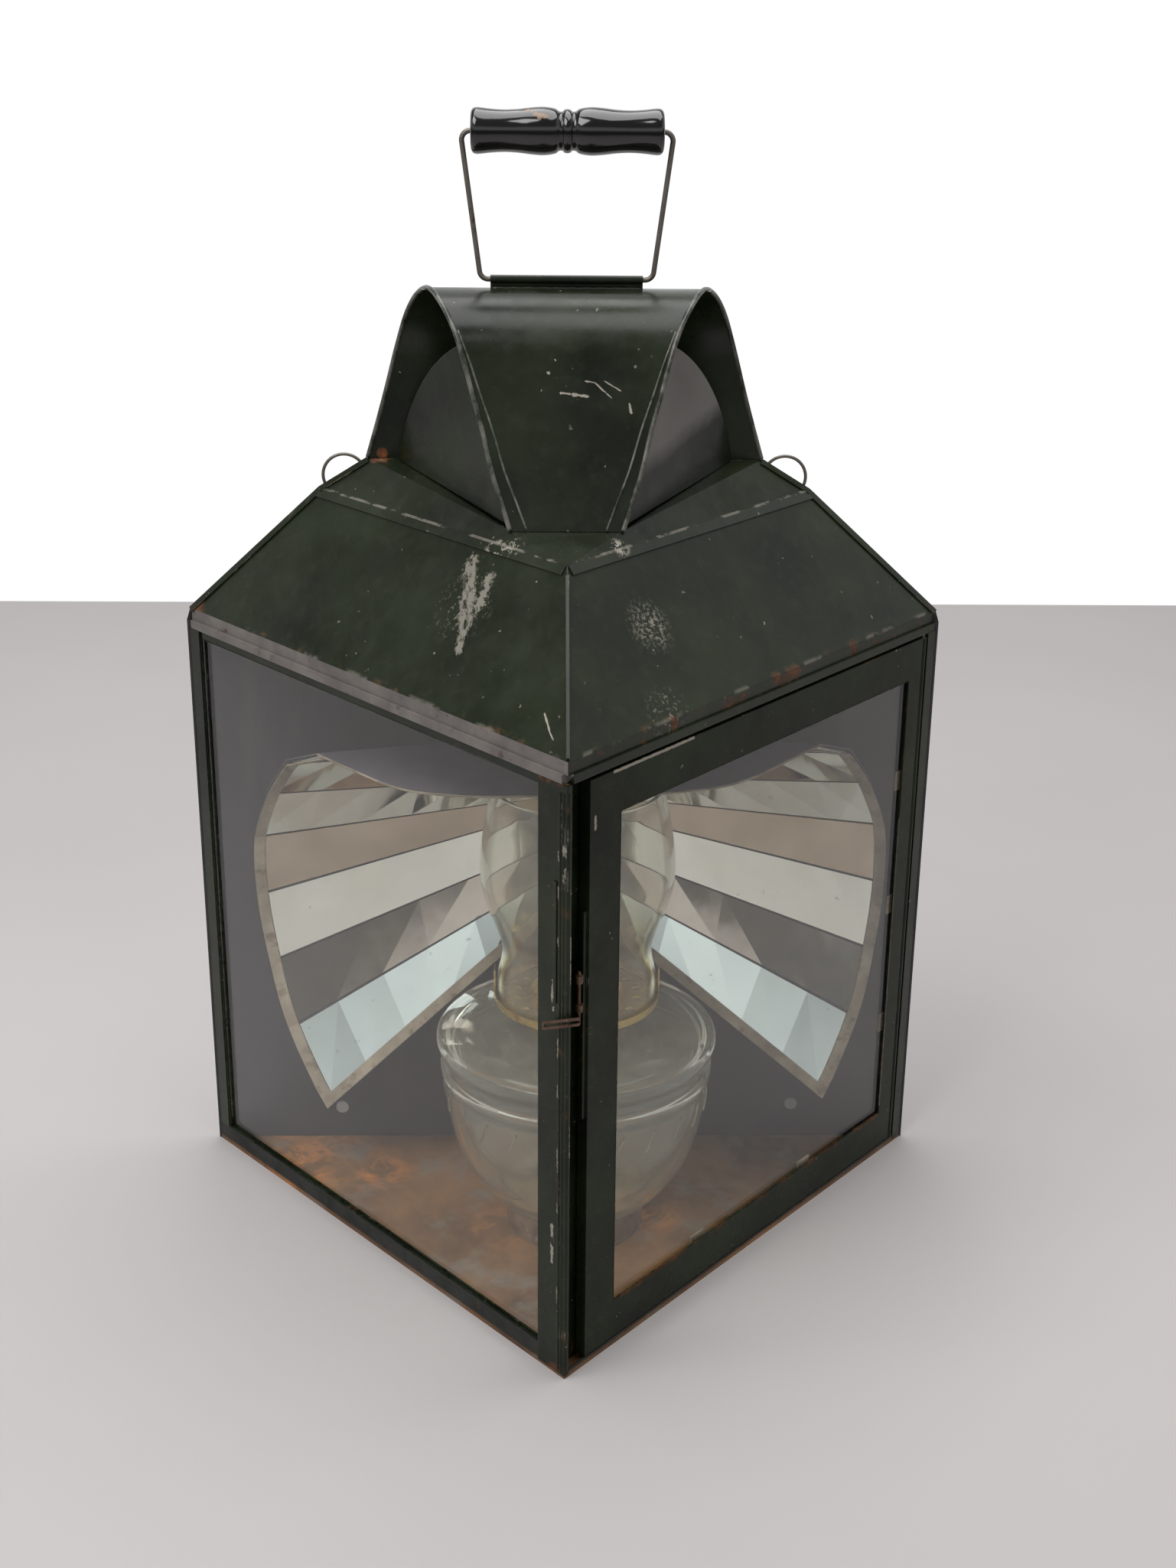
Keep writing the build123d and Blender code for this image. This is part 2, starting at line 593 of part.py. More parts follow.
def reflector_rim(left):
    side = wing_grid(smooth_rows(), ends=MIRROR_BAND)
    grid = [[row[0], row[-1]] for row in side]
    directions = [[line[0], line[-1]] for line in normals(side)]
    band = thick_patch(shifted(grid, directions, 2.7), shifted(grid, directions, 2.1))
    whole = wing_grid(zip(RIM, SEAM))
    low, high = whole[0], whole[1]
    rise = [MIRROR_BAND / (Vector(*b) - Vector(*a)).length for a, b in zip(low, high)]
    rows = [low, [mix(a, b, t) for a, b, t in zip(low, high, rise)]]
    lines = normals(whole)[:2]
    lower = thick_patch(shifted(rows, lines, 2.7), shifted(rows, lines, 2.1))
    return placed(band, left) + placed(lower, left)


def reflector_bracket():
    strap = box((REFLECTOR_X - 12, REFLECTOR_X + 12), (75.6, BACK_Y - SHEET), (176.0, 196.0))
    return strap - box((REFLECTOR_X - 20, REFLECTOR_X + 20), (76.6, 78.0), (170.0, 200.0)) \
        + box((REFLECTOR_X - 12, REFLECTOR_X - 11), (75.6, BACK_Y - SHEET), (176.0, 196.0)) \
        + box((REFLECTOR_X + 11, REFLECTOR_X + 12), (75.6, BACK_Y - SHEET), (176.0, 196.0))


def wall_rivets():
    rivets = None
    for x, z in ((-120.0, 20.0), (126.0, 22.0)):
        rivet = Pos(x, BACK_Y - SHEET - 0.6, z) * Rot(90, 0, 0) * Cylinder(3.4, 1.2)
        rivets = rivet if rivets is None else rivets + rivet
    return rivets


# Lamp -------------------------------------------------------------------------------------------

def lamp_seat():
    """A shallow tin drum, closed on top, that the font stands on."""
    rim, top = SEAT_R - 1.2, FONT_Z - 0.1
    return turned([(rim, FLOOR), (SEAT_R, FLOOR), (SEAT_R, top), (0, top), (0, top - 0.9), (rim, top - 0.9)], LAMP_X)


def font():
    outer = [(0, FONT_Z), (36.0, FONT_Z), (38.5, 19.2), (45.5, 27.0), (52.5, 37.0), (58.0, 47.0), (60.6, 54.5),
             (62.5, 62.0), (65.0, 76.0), (65.6, 84.0), (65.8, 90.0), (67.3, 92.0), (67.3, 95.0), (65.9, 97.0),
             (66.8, 103.0), (FONT_R, 107.5), (FONT_R, 110.5), (67.2, 112.4), (58.0, 114.8), (45.0, 116.4),
             (30.0, 117.4), (22.0, 117.9), (22.0, 121.5)]
    inner = [(18.5, 121.5), (18.5, 115.0), (30.0, 114.2), (45.0, 113.2), (57.5, 111.6), (63.8, 108.6),
             (63.6, 98.0), (63.0, 86.0), (62.0, 76.0), (59.4, 62.6), (57.4, 55.4), (55.0, 48.6), (49.6, 39.0),
             (42.8, 29.4), (35.0, 24.4), (0, 23.4)]
    return turned(outer + inner, LAMP_X)


def burner_collar():
    return turned([(22.1, 118.2), (24.6, 118.2), (25.0, 120.0), (24.6, 123.6), (21.7, 123.6), (21.7, 121.7),
                   (22.1, 121.7)], LAMP_X)


def burner_body():
    body = turned([(19.8, 121.6), (21.5, 121.6), (21.5, 136.0), (17.0, 139.0), (0, 139.0), (0, 138.0),
                   (16.6, 138.0), (19.8, 135.4)], LAMP_X)
    body -= box((LAMP_X - 2.3, LAMP_X + 2.3), (-9.6, 9.6), (136.0, 141.0))
    return body - rod((SHAFT_X, -30, SHAFT_Z), (SHAFT_X, 0, SHAFT_Z), 1.2 + RUNNING)


def burner_gallery():
    tray = turned([(21.6, 130.4), (40.0, 130.4), (40.4, 134.5), (39.8, 134.5), (39.4, 131.2), (21.6, 131.2)],
                  LAMP_X)
    vents = None
    for k in range(16):
        angle = 2 * pi * (k + 0.5) / 16
        hole = Pos(LAMP_X + 30.0 * cos(angle), 30.0 * sin(angle), 131) * Cylinder(2.6, 4)
        vents = hole if vents is None else vents + hole
    tray -= vents
    for k in range(4):
        prong = box((39.5, 40.2), (-3.2, 3.2), (131.0, 146.0))
        tray += Pos(LAMP_X, 0, 0) * Rot(0, 0, 90 * k) * prong
    return tray


def wick_tube():
    z = (119.0, 157.0)
    tube = box((LAMP_X - 2.3, LAMP_X + 2.3), (-9.6, 9.6), z)
    tube -= box((LAMP_X - 1.5, LAMP_X + 1.5), (-8.8, 8.8), (110, 160))
    return tube - box((LAMP_X + 1.0, LAMP_X + 4.0), (-6.0, 6.0), (SHAFT_Z - 5, SHAFT_Z + 5))


def flame_spreader():
    dome = turned([(16.0, 139.1), (16.8, 139.1), (16.6, 146.0), (14.4, 152.0), (10.4, 156.8), (5.0, 159.6),
                   (0, 160.4), (0, 159.6), (4.8, 158.8), (9.9, 156.1), (13.7, 151.6), (15.8, 145.8)], LAMP_X)
    return dome - box((LAMP_X - 3.2, LAMP_X + 3.2), (-10.4, 10.4), (150.0, 165.0))


def wick():
    half = 1.2
    return box((LAMP_X - half, LAMP_X + half), (-8.2, 8.2), (32.0, 158.6))


def wick_knob():
    shaft = rod((SHAFT_X, -47.0, SHAFT_Z), (SHAFT_X, 5.0, SHAFT_Z), 1.2)
    knob = rod((SHAFT_X, -47.5, SHAFT_Z), (SHAFT_X, -44.5, SHAFT_Z), 7.0)
    grooves = None
    for k in range(18):
        angle = 2 * pi * k / 18
        x, z = SHAFT_X + 7.2 * cos(angle), SHAFT_Z + 7.2 * sin(angle)
        groove = rod((x, -48, z), (x, -44, z), 0.6)
        grooves = groove if grooves is None else grooves + groove
    wheel = rod((SHAFT_X, -4.0, SHAFT_Z), (SHAFT_X, -1.5, SHAFT_Z), WHEEL_R)
    wheel += rod((SHAFT_X, 1.5, SHAFT_Z), (SHAFT_X, 4.0, SHAFT_Z), WHEEL_R)
    return shaft + (knob - grooves) + wheel


def chimney():
    base = CHIMNEY_BASE_Z
    heights = ((0, 38.7), (4, 38.7), (12, 38.4), (20, 36.6), (27, 36.0), (36, 37.8), (48, 42.4), (60, 45.9),
               (70, 46.7), (80, 46.2), (92, 44.6), (104, 42.4), (109, 41.0), (112.5, 39.8))
    outer = Spline(*[(r, 0, base + z) for z, r in heights])
    wall = 1.8
    inner = Spline(*[(r - wall, 0, base + z) for z, r in heights])
    ends = [Line((heights[k][1], 0, base + heights[k][0]), (heights[k][1] - wall, 0, base + heights[k][0]))
            for k in (0, -1)]
    face = make_face([*outer.edges(), *inner.edges(), *ends[0].edges(), *ends[1].edges()])
    return Pos(LAMP_X, 0, 0) * revolve(face, Axis.Z)


PARTS = {
    "base_pan": base_pan, "back_wall": back_wall, "front_post": front_post, "left_jamb": left_jamb,
    "right_jamb": right_jamb, "head_frame": head_frame, "left_pane_frame": left_pane_frame,
    "left_glass": left_glass, "hip_seam": hip_seam, "crown_apron": crown_apron, "hood": hood,
    "handle_tube": handle_tube, "bail_wire": bail_wire, "grip": grip, "loop_clips": loop_clips,
    "door_frame": door_frame, "hinge_pin": hinge_pin, "door_glass": door_glass, "glass_tabs": glass_tabs,
    "latch_hook": latch_hook, "latch_eye": latch_eye, "latch_keeper": latch_keeper,
    "reflector_bracket": reflector_bracket, "wall_rivets": wall_rivets, "lamp_seat": lamp_seat,
    "font": font, "burner_collar": burner_collar, "burner_body": burner_body,
    "burner_gallery": burner_gallery, "wick_tube": wick_tube, "flame_spreader": flame_spreader,
    "wick": wick, "wick_knob": wick_knob, "chimney": chimney,
}
PAIRS = {"roof": roof_slope, "crown": crown, "baffle": baffle, "reflector_shell": reflector_shell,
         "mirror_strips": mirror_strips, "reflector_rim": reflector_rim}

for name, make in PARTS.items():
    save(name, make())
for name, make in PAIRS.items():
    save(f"{name}_left", make(True))
    save(f"{name}_right", make(False))
save("hanging_loop_left", hanging_loop(-1))
save("hanging_loop_right", hanging_loop(1))
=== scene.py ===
import math
import bpy
from mathutils import Matrix, Vector


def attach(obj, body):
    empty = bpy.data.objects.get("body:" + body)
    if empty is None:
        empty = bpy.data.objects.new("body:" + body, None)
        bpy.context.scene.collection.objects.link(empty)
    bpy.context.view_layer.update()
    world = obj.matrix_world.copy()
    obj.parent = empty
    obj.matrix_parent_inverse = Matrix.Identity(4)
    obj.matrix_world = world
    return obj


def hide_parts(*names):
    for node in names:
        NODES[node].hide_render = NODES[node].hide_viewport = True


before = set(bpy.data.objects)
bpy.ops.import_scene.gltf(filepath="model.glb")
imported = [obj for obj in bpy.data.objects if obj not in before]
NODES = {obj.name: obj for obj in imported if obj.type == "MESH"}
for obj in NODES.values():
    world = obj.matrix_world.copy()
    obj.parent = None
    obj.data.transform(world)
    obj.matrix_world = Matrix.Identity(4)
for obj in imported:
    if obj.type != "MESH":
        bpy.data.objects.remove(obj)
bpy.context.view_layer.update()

MM = 0.001

# Sizes shared with the CAD, in metres
HALF_WIDTH, DEPTH, BACK_Y = 0.190, 0.215, 0.080
FRONT_Y = BACK_Y - DEPTH
SIDE = math.hypot(HALF_WIDTH, DEPTH)
EAVE_Z = 0.307
DOOR_OPENING, DOOR_OPENING_Z = (0.035, 0.2625), (0.025, 0.2755)
LEFT_OPENING, LEFT_OPENING_Z = (0.0187, 0.277), (0.0105, 0.293)
HOOD_R, HOOD_CENTRE, HOOD_FOOT = 0.038, (0.042, 0.434), (-0.020, 0.374)
BAIL_Y, GRIP_Z, GRIP_HALF = 0.044, 0.5413, 0.0433

# Shader settings used by more than one material
EDGE_SAMPLES, ROUNDING_SAMPLES = 6, 4
EDGE_BENDS = (0.98, 0.80)        # cosines between a flat face's normal and the softened one, off and full
RAGGED_SCALE = 450               # noise that breaks the outline of scratches and tears
WINDOW_IOR, LAMP_GLASS_IOR = 1.45, 1.47
UP = (0, 0, 1)
MICRONS = 1e6                    # in a metre


# Materials ---------------------------------------------------------------------------------------

class Shader:
    """A material's node tree with short calls for the nodes used below, placed by object coordinates."""

    def __init__(self, name):
        self.material = bpy.data.materials.new(name)
        self.material.use_nodes = True
        self.tree = self.material.node_tree
        self.tree.nodes.clear()
        self.out = self.tree.nodes.new("ShaderNodeOutputMaterial")
        self.bsdf = self.add("ShaderNodeBsdfPrincipled")
        self.link(self.bsdf.outputs[0], self.out.inputs["Surface"])
        self.place = self.add("ShaderNodeTexCoord").outputs["Object"]

    def add(self, kind, **settings):
        node = self.tree.nodes.new(kind)
        for key, value in settings.items():
            setattr(node, key, value)
        return node

    def link(self, source, target):
        self.tree.links.new(source, target)

    def put(self, target, value):
        if isinstance(value, bpy.types.NodeSocket):
            self.link(value, target)
        elif isinstance(value, (tuple, list)) and len(value) == 3 and target.type == "RGBA":
            target.default_value = (*value, 1.0)
        else:
            target.default_value = value

    def set(self, **values):
        for key, value in values.items():
            self.put(self.bsdf.inputs[key.replace("_", " ")], value)
        return self

    def noise(self, scale, detail=3.0, roughness=0.55, stretch=(1, 1, 1), shift=(0, 0, 0), distortion=0.0):
        moved = self.add("ShaderNodeMapping")
        self.link(self.place, moved.inputs["Vector"])
        moved.inputs["Scale"].default_value = stretch
        moved.inputs["Location"].default_value = shift
        node = self.add("ShaderNodeTexNoise")
        self.link(moved.outputs[0], node.inputs["Vector"])
        node.inputs["Scale"].default_value = scale
        node.inputs["Detail"].default_value = detail
        node.inputs["Roughness"].default_value = roughness
        node.inputs["Distortion"].default_value = distortion
        return node.outputs["Fac"]

    def span(self, value, low, high, to_low=0.0, to_high=1.0):
        node = self.add("ShaderNodeMapRange", clamp=True)
        for socket, item in zip(node.inputs[:5], (value, low, high, to_low, to_high)):
            self.put(socket, item)
        return node.outputs[0]

    def math(self, operation, a, b=0.0, clamp=False):
        node = self.add("ShaderNodeMath", operation=operation, use_clamp=clamp)
        self.put(node.inputs[0], a)
        self.put(node.inputs[1], b)
        return node.outputs[0]

    def times(self, *values):
        total = values[0]
        for value in values[1:]:
            total = self.math("MULTIPLY", total, value)
        return total

    def most(self, *values):
        total = values[0]
        for value in values[1:]:
            total = self.math("MAXIMUM", total, value)
        return total

    def mix(self, share, a, b):
        node = self.add("ShaderNodeMix", data_type="RGBA")
        self.put(node.inputs[0], share)
        self.put(node.inputs[6], a)
        self.put(node.inputs[7], b)
        return node.outputs[2]

    def along(self, direction, origin=(0, 0, 0)):
        """Distance from a point along a direction."""
        shifted = self.add("ShaderNodeVectorMath", operation="SUBTRACT")
        self.link(self.place, shifted.inputs[0])
        shifted.inputs[1].default_value = origin
        dot = self.add("ShaderNodeVectorMath", operation="DOT_PRODUCT")
        self.link(shifted.outputs[0], dot.inputs[0])
        dot.inputs[1].default_value = Vector(direction).normalized()
        return dot.outputs["Value"]

    def streak(self, a, b, width, ragged=0.5, soft=0.4):
        """A mask round the segment a-b, with a ragged edge."""
        a, b = Vector(a), Vector(b)
        axis = (b - a).normalized()
        middle = (a + b) / 2
        run = self.math("ABSOLUTE", self.along(axis, middle))
        past = self.math("MAXIMUM", self.math("SUBTRACT", run, (b - a).length / 2), 0.0)
        shifted = self.add("ShaderNodeVectorMath", operation="SUBTRACT")
        self.link(self.place, shifted.inputs[0])
        shifted.inputs[1].default_value = middle
        cross = self.add("ShaderNodeVectorMath", operation="CROSS_PRODUCT")
        self.link(shifted.outputs[0], cross.inputs[0])
        cross.inputs[1].default_value = axis
        length = self.add("ShaderNodeVectorMath", operation="LENGTH")
        self.link(cross.outputs[0], length.inputs[0])
        away = self.math("ADD", length.outputs["Value"], past)
        wobble = self.span(self.noise(RAGGED_SCALE, 4, 0.65), 0.3, 0.7, 1 - ragged, 1 + ragged)
        return self.span(self.math("DIVIDE", away, self.times(wobble, width)), 1.0, 1.0 - soft)

    def blob(self, centre, radius, soft=0.8):
        away = self.add("ShaderNodeVectorMath", operation="DISTANCE")
        self.link(self.place, away.inputs[0])
        away.inputs[1].default_value = centre
        return self.span(away.outputs["Value"], radius, radius * (1 - soft))

    def edges(self, width):
        """1 along sharp edges, 0 on flat stretches."""
        bevel = self.add("ShaderNodeBevel", samples=EDGE_SAMPLES)
        bevel.inputs["Radius"].default_value = width
        geometry = self.add("ShaderNodeNewGeometry")
        dot = self.add("ShaderNodeVectorMath", operation="DOT_PRODUCT")
        self.link(bevel.outputs[0], dot.inputs[0])
        self.link(geometry.outputs["Normal"], dot.inputs[1])
        return self.span(dot.outputs["Value"], *EDGE_BENDS)

    def bump(self, height, strength=0.3, distance=0.001, rounded=0.0):
        node = self.add("ShaderNodeBump")
        node.inputs["Strength"].default_value = strength
        node.inputs["Distance"].default_value = distance
        self.put(node.inputs["Height"], height)
        if rounded:
            bevel = self.add("ShaderNodeBevel", samples=ROUNDING_SAMPLES)
            bevel.inputs["Radius"].default_value = rounded
            self.link(bevel.outputs[0], node.inputs["Normal"])
        self.link(node.outputs[0], self.bsdf.inputs["Normal"])


PAINT_DARK = (0.0052, 0.0078, 0.0032)
PAINT_LIGHT = (0.0165, 0.0235, 0.0098)
RUST_DARK = (0.060, 0.024, 0.011)
RUST_LIGHT = (0.260, 0.090, 0.028)
# Bare tin colour, also used for the painted highlights that some marks lay along folds
BARE_TIN_AND_HIGHLIGHT = (0.33, 0.30, 0.25)


def side_point(side, s, n, z):
    """Distance s from the front corner along a side, n inside its face, at height z."""
    sign = -1 if side == "left" else 1
    run = Vector((sign * HALF_WIDTH, DEPTH, 0)) / SIDE
    inward = Vector((-sign * DEPTH, HALF_WIDTH, 0)) / SIDE
    return Vector((0, FRONT_Y, 0)) + run * s + inward * n + Vector((0, 0, z))


def green_paint(name, rust=0.25, wear=0.5, marks=None, gloss=0.34):
    """Old gloss enamel: mottled dark green, bare tin on the edges, rust creeping in from them."""
    s = Shader(name)
    mottle = s.noise(18, 5, 0.6)
    fine = s.noise(160, 3, 0.5)
    colour = s.mix(s.span(mottle, 0.35, 0.68), PAINT_DARK, PAINT_LIGHT)
    colour = s.mix(s.times(s.span(fine, 0.52, 0.72), 0.25), colour, (0.030, 0.036, 0.022))
    edge = s.edges(0.7 * MM)
    patchy = s.noise(60, 5, 0.7, shift=(0.3, 0.1, 0.7))
    rusty = s.times(s.edges(1.6 * MM), s.span(patchy, 0.66 - 0.16 * rust, 0.78 - 0.16 * rust))
    rust_colour = s.mix(s.span(s.noise(220, 4, 0.6), 0.35, 0.7), RUST_DARK, RUST_LIGHT)
    chipping = s.noise(95, 4, 0.7, shift=(0.9, 0.4, 0.2))
    bare = s.times(edge, s.span(chipping, 0.68 - 0.12 * wear, 0.78 - 0.12 * wear))
    specks = s.span(s.noise(330, 2, 0.4, shift=(0.2, 0.8, 0.5)), 0.735, 0.76)
    bare = s.most(bare, s.times(specks, s.span(patchy, 0.5, 0.6), 0.7))
    if marks:
        marked_bare_and_highlight, marked_rust = marks(s)
        # The marks' bright lines join the bare tin here; some of them are painted highlights
        bare = s.most(bare, marked_bare_and_highlight)
        if marked_rust is not None:
            rusty = s.most(rusty, marked_rust)
    colour = s.mix(rusty, colour, rust_colour)
    colour = s.mix(bare, colour, BARE_TIN_AND_HIGHLIGHT)
    rough = s.span(s.noise(40, 4, 0.6, shift=(0.5, 0, 0)), 0.3, 0.7, 0.20, 0.36)
    rough = s.math("ADD", rough, s.math("ADD", s.times(rusty, 0.45), s.times(bare, 0.25)), clamp=True)
    s.set(Base_Color=colour, Roughness=rough, Specular_IOR_Level=gloss)
    relief = s.math("ADD", s.times(s.noise(35, 3, 0.5), 0.55), s.times(s.noise(500, 2, 0.5), 0.10))
    relief = s.math("SUBTRACT", relief, s.times(bare, 0.25))
    s.bump(relief, 0.22, 1.2 * MM, 0.5 * MM)
    return s.material


# Start, end, half width in mm and raggedness of each tear in the left slope's paint
ROOF_TEARS = (
    ((-0.0425, -0.0190, 0.3600), (-0.0450, -0.0440, 0.3370), 4.6, 0.7),
    ((-0.0440, -0.0400, 0.3420), (-0.0480, -0.0530, 0.3280), 2.6, 0.5),
    ((-0.0340, -0.0330, 0.3560), (-0.0400, -0.0420, 0.3440), 3.4, 0.9),
)
# Start, end and half width in mm of each scratch
ROOF_SCRATCHES = (
    ((-0.0096, -0.1070, 0.3190), (-0.0076, -0.1160, 0.3140), 0.5),
    ((-0.0076, -0.1160, 0.3140), (-0.0040, -0.1235, 0.3095), 0.4),
    ((-0.0040, -0.1235, 0.3095), (-0.0010, -0.1270, 0.3085), 0.4),
    ((-0.0620, -0.0200, 0.3440), (-0.0600, -0.0260, 0.3400), 0.3),
)


def roof_marks(s):
    """The torn patches and scratches of the two main slopes, a painted highlight line along the eave's fold,
    and rust along the eave and at its rear corners.
    """
    torn = s.most(*[s.streak(a, b, wide * MM, ragged) for a, b, wide, ragged in ROOF_TEARS])
    torn = s.times(torn, s.span(s.noise(230, 4, 0.7, stretch=(1.6, 0.6, 0.6)), 0.40, 0.50))
    scratches = [s.streak(a, b, wide * MM) for a, b, wide in ROOF_SCRATCHES]
    dust = s.times(s.blob((-0.046, -0.036, 0.345), 20 * MM), s.span(s.noise(420, 4, 0.7), 0.56, 0.62))
    speckle = s.times(s.blob((0.0370, -0.0510, 0.3400), 15 * MM), s.span(s.noise(520, 4, 0.75), 0.50, 0.58))
    scuff = s.times(s.blob((0.0450, -0.0800, 0.3090), 16 * MM), s.span(s.noise(480, 3, 0.7), 0.56, 0.64))
    # Painted highlight: a thin, broken bright line along the eave's fold
    lip = s.times(s.span(s.along(UP), 0.3085, 0.3070), s.span(s.along(UP), 0.3060, 0.3068),
                  s.span(s.noise(45, 3, 0.6, shift=(0.1, 0.7, 0.2)), 0.54, 0.60))
    # Bare tin from the tears, scratches, dust and scuffs, together with the eave's painted highlight line
    worn = s.most(s.times(torn, 0.62), *scratches, s.times(dust, 0.55), s.times(speckle, 0.7),
                  s.times(scuff, 0.6), s.times(lip, 0.35))
    low = s.span(s.along(UP), 0.3095, 0.3060)
    corner = s.most(s.blob((-0.187, 0.078, EAVE_Z), 9 * MM), s.blob((0.187, 0.078, EAVE_Z), 7 * MM))
    rusting = s.span(s.noise(70, 4, 0.7, shift=(0.2, 0.2, 0.9)), 0.56, 0.64)
    return worn, s.times(s.most(s.times(low, 0.75), corner), rusting)


def hood_front_y(z):
    """Depth of the hood's front at a height: a straight flank below, the crest's arc above."""
    (cy, cz), (fy, fz) = HOOD_CENTRE, HOOD_FOOT
    reach = math.hypot(cy - fy, cz - fz)
    angle = math.atan2(cz - fz, cy - fy) + math.asin(HOOD_R / reach)
    run = math.sqrt(reach ** 2 - HOOD_R ** 2)
    if z < fz + run * math.sin(angle):
        return fy + (z - fz) / math.tan(angle)
    return cy - math.sqrt(max(HOOD_R ** 2 - (z - cz) ** 2, 0.0))


# Start x and z, end x and z and half width, in mm, of each scratch on the hood's front
HOOD_SCRATCHES = (
    (8.0, 437.5, 12.5, 436.8, 0.35), (12.5, 436.8, 20.0, 430.5, 0.35), (17.0, 437.5, 24.0, 433.5, 0.35),
    (-3.0, 432.5, 1.5, 432.0, 0.5), (2.5, 432.0, 9.0, 431.0, 0.7), (-8.5, 441.0, -7.8, 440.4, 0.6),
    (-5.5, 446.5, -5.0, 446.0, 0.4), (28.0, 428.0, 29.0, 424.0, 0.6),
)


def hood_marks(s):
    """Scratches on the hood's front, and an orange spot of rust at its left rear foot."""
    scratches = []
    for x0, z0, x1, z1, wide in HOOD_SCRATCHES:
        start = (x0 * MM, hood_front_y(z0 * MM), z0 * MM)
        scratches.append(s.streak(start, (x1 * MM, hood_front_y(z1 * MM), z1 * MM), wide * MM, 0.9))
    return s.most(*scratches), s.blob((-0.0895, 0.079, 0.3865), 3.2 * MM, 0.4)


def hip_marks(s):
    """Fine bright lines down both edges of the front seam."""
    lines = []
    for x, wide, share in ((0.0008, 0.30, 1.0), (-0.0008, 0.26, 0.7)):
        line = s.streak((x, -0.1335, 0.3075), (x, -0.0580, 0.3700), wide * MM, 0.3)
        lines.append(s.times(line, share))
    return s.times(s.most(*lines), s.span(s.noise(70, 3, 0.6), 0.34, 0.44), 0.8), None


def crown_marks(s):
    """Chips beside the hood's foot, a painted highlight along the crown's fold, and a bright joint down each
    side.
    """
    beside = s.most(s.blob((-0.033, -0.026, 0.3690), 8 * MM, 0.5),
                    s.blob((-0.024, -0.030, 0.370), 6 * MM, 0.5),
                    s.blob((0.024, -0.030, 0.370), 6 * MM, 0.5))
    chipped = s.times(beside, s.span(s.noise(260, 4, 0.7), 0.50, 0.55))
    # Painted highlight: a thin, broken bright band along the crown's fold, laid in as bare tin
    fold = s.times(s.span(s.along(UP), 0.36960, 0.36940), s.span(s.along(UP), 0.36880, 0.36900),
                   s.span(s.noise(80, 3, 0.6), 0.46, 0.54), 0.45)
    joints = []
    for sign, wide, share in ((-1, 0.55, 1.0), (1, 0.45, 0.5)):
        joint = s.streak((sign * 0.0905, 0.078, 0.3842), (sign * 0.030, -0.0120, 0.3778), wide * MM, 0.4)
        joints.append(s.times(joint, share))
    rusty = s.times(s.blob((-0.090, 0.078, 0.3840), 6 * MM, 0.5), s.span(s.noise(110, 4, 0.6), 0.40, 0.50))
    return s.most(chipped, fold, s.times(s.most(*joints), 0.9)), rusty


# Height in m and length in mm of each chip on the front post's left leaf
POST_CHIPS = ((0.243, 7), (0.222, 4), (0.168, 9), (0.148, 6), (0.110, 12), (0.088, 5), (0.040, 8), (0.262, 4))
# Side, distance from the corner and height in m, and length in mm, of each rubbed stretch
POST_RUBS = (
    ("right", 0.0030, 0.205, 22), ("right", 0.0030, 0.118, 16), ("left", 0.0016, 0.252, 18),
    ("left", 0.0090, 0.190, 14), ("left", 0.0090, 0.060, 20), ("right", 0.0030, 0.246, 9),
)


def post_marks(s):
    """Chips and rubbed stretches along the front post, and rust at its head and foot."""
    chips = []
    for z, length in POST_CHIPS:
        a = side_point("left", 0.0052, 0.0, z)
        chips.append(s.streak(a, a + Vector((0, 0, length * MM)), 0.8 * MM, 0.7))
    for side, along, z, length in POST_RUBS:
        a = side_point(side, along, 0.0, z)
        line = s.streak(a, a + Vector((0, 0, length * MM)), 1.1 * MM, 0.5)
        chips.append(s.times(line, s.span(s.noise(190, 4, 0.7), 0.44, 0.50)))
    head = s.span(s.along(UP), 0.292, 0.299)
    foot = s.span(s.along(UP), 0.012, 0.002)
    rusty = s.times(s.most(head, s.times(foot, 0.6)), s.span(s.noise(90, 4, 0.7), 0.52, 0.62))
    return s.most(*chips), rusty


def back_marks(s):
    """Long rubs where the flat back has hung against a bulkhead, and rust along its foot."""
    rubs = s.times(s.span(s.noise(26, 4, 0.65, stretch=(1, 1, 0.22), shift=(0.6, 0, 0.1)), 0.60, 0.72), 0.22)
    foot = s.span(s.along(UP), 0.022, 0.002)
    return rubs, s.times(foot, s.span(s.noise(70, 4, 0.7), 0.46, 0.58))


def door_marks(s):
    """A bright line on the door's top rail, a chip below it, and wear down its far edge and bottom rail."""
    rail_top = side_point("right", 0.030, 0, 0.2948)
    line = s.streak(rail_top, side_point("right", 0.085, 0, 0.2948), 0.8 * MM, 0.3)
    low = side_point("right", 0.018, 0.0, 0.272)
    chip = s.streak(low, low + Vector((0, 0, 6 * MM)), 0.9 * MM)
    edge = s.streak(side_point("right", 0.262, 0, 0.03), side_point("right", 0.262, 0, 0.2), 0.8 * MM, 0.6)
    rail = s.streak(side_point("right", 0.04, 0, 0.0245), side_point("right", 0.26, 0, 0.0245), 1.4 * MM, 0.7)
    rail = s.times(rail, s.span(s.noise(60, 3, 0.6), 0.45, 0.55))
    return s.most(line, chip, s.times(edge, 0.3)), s.times(rail, 0.5)


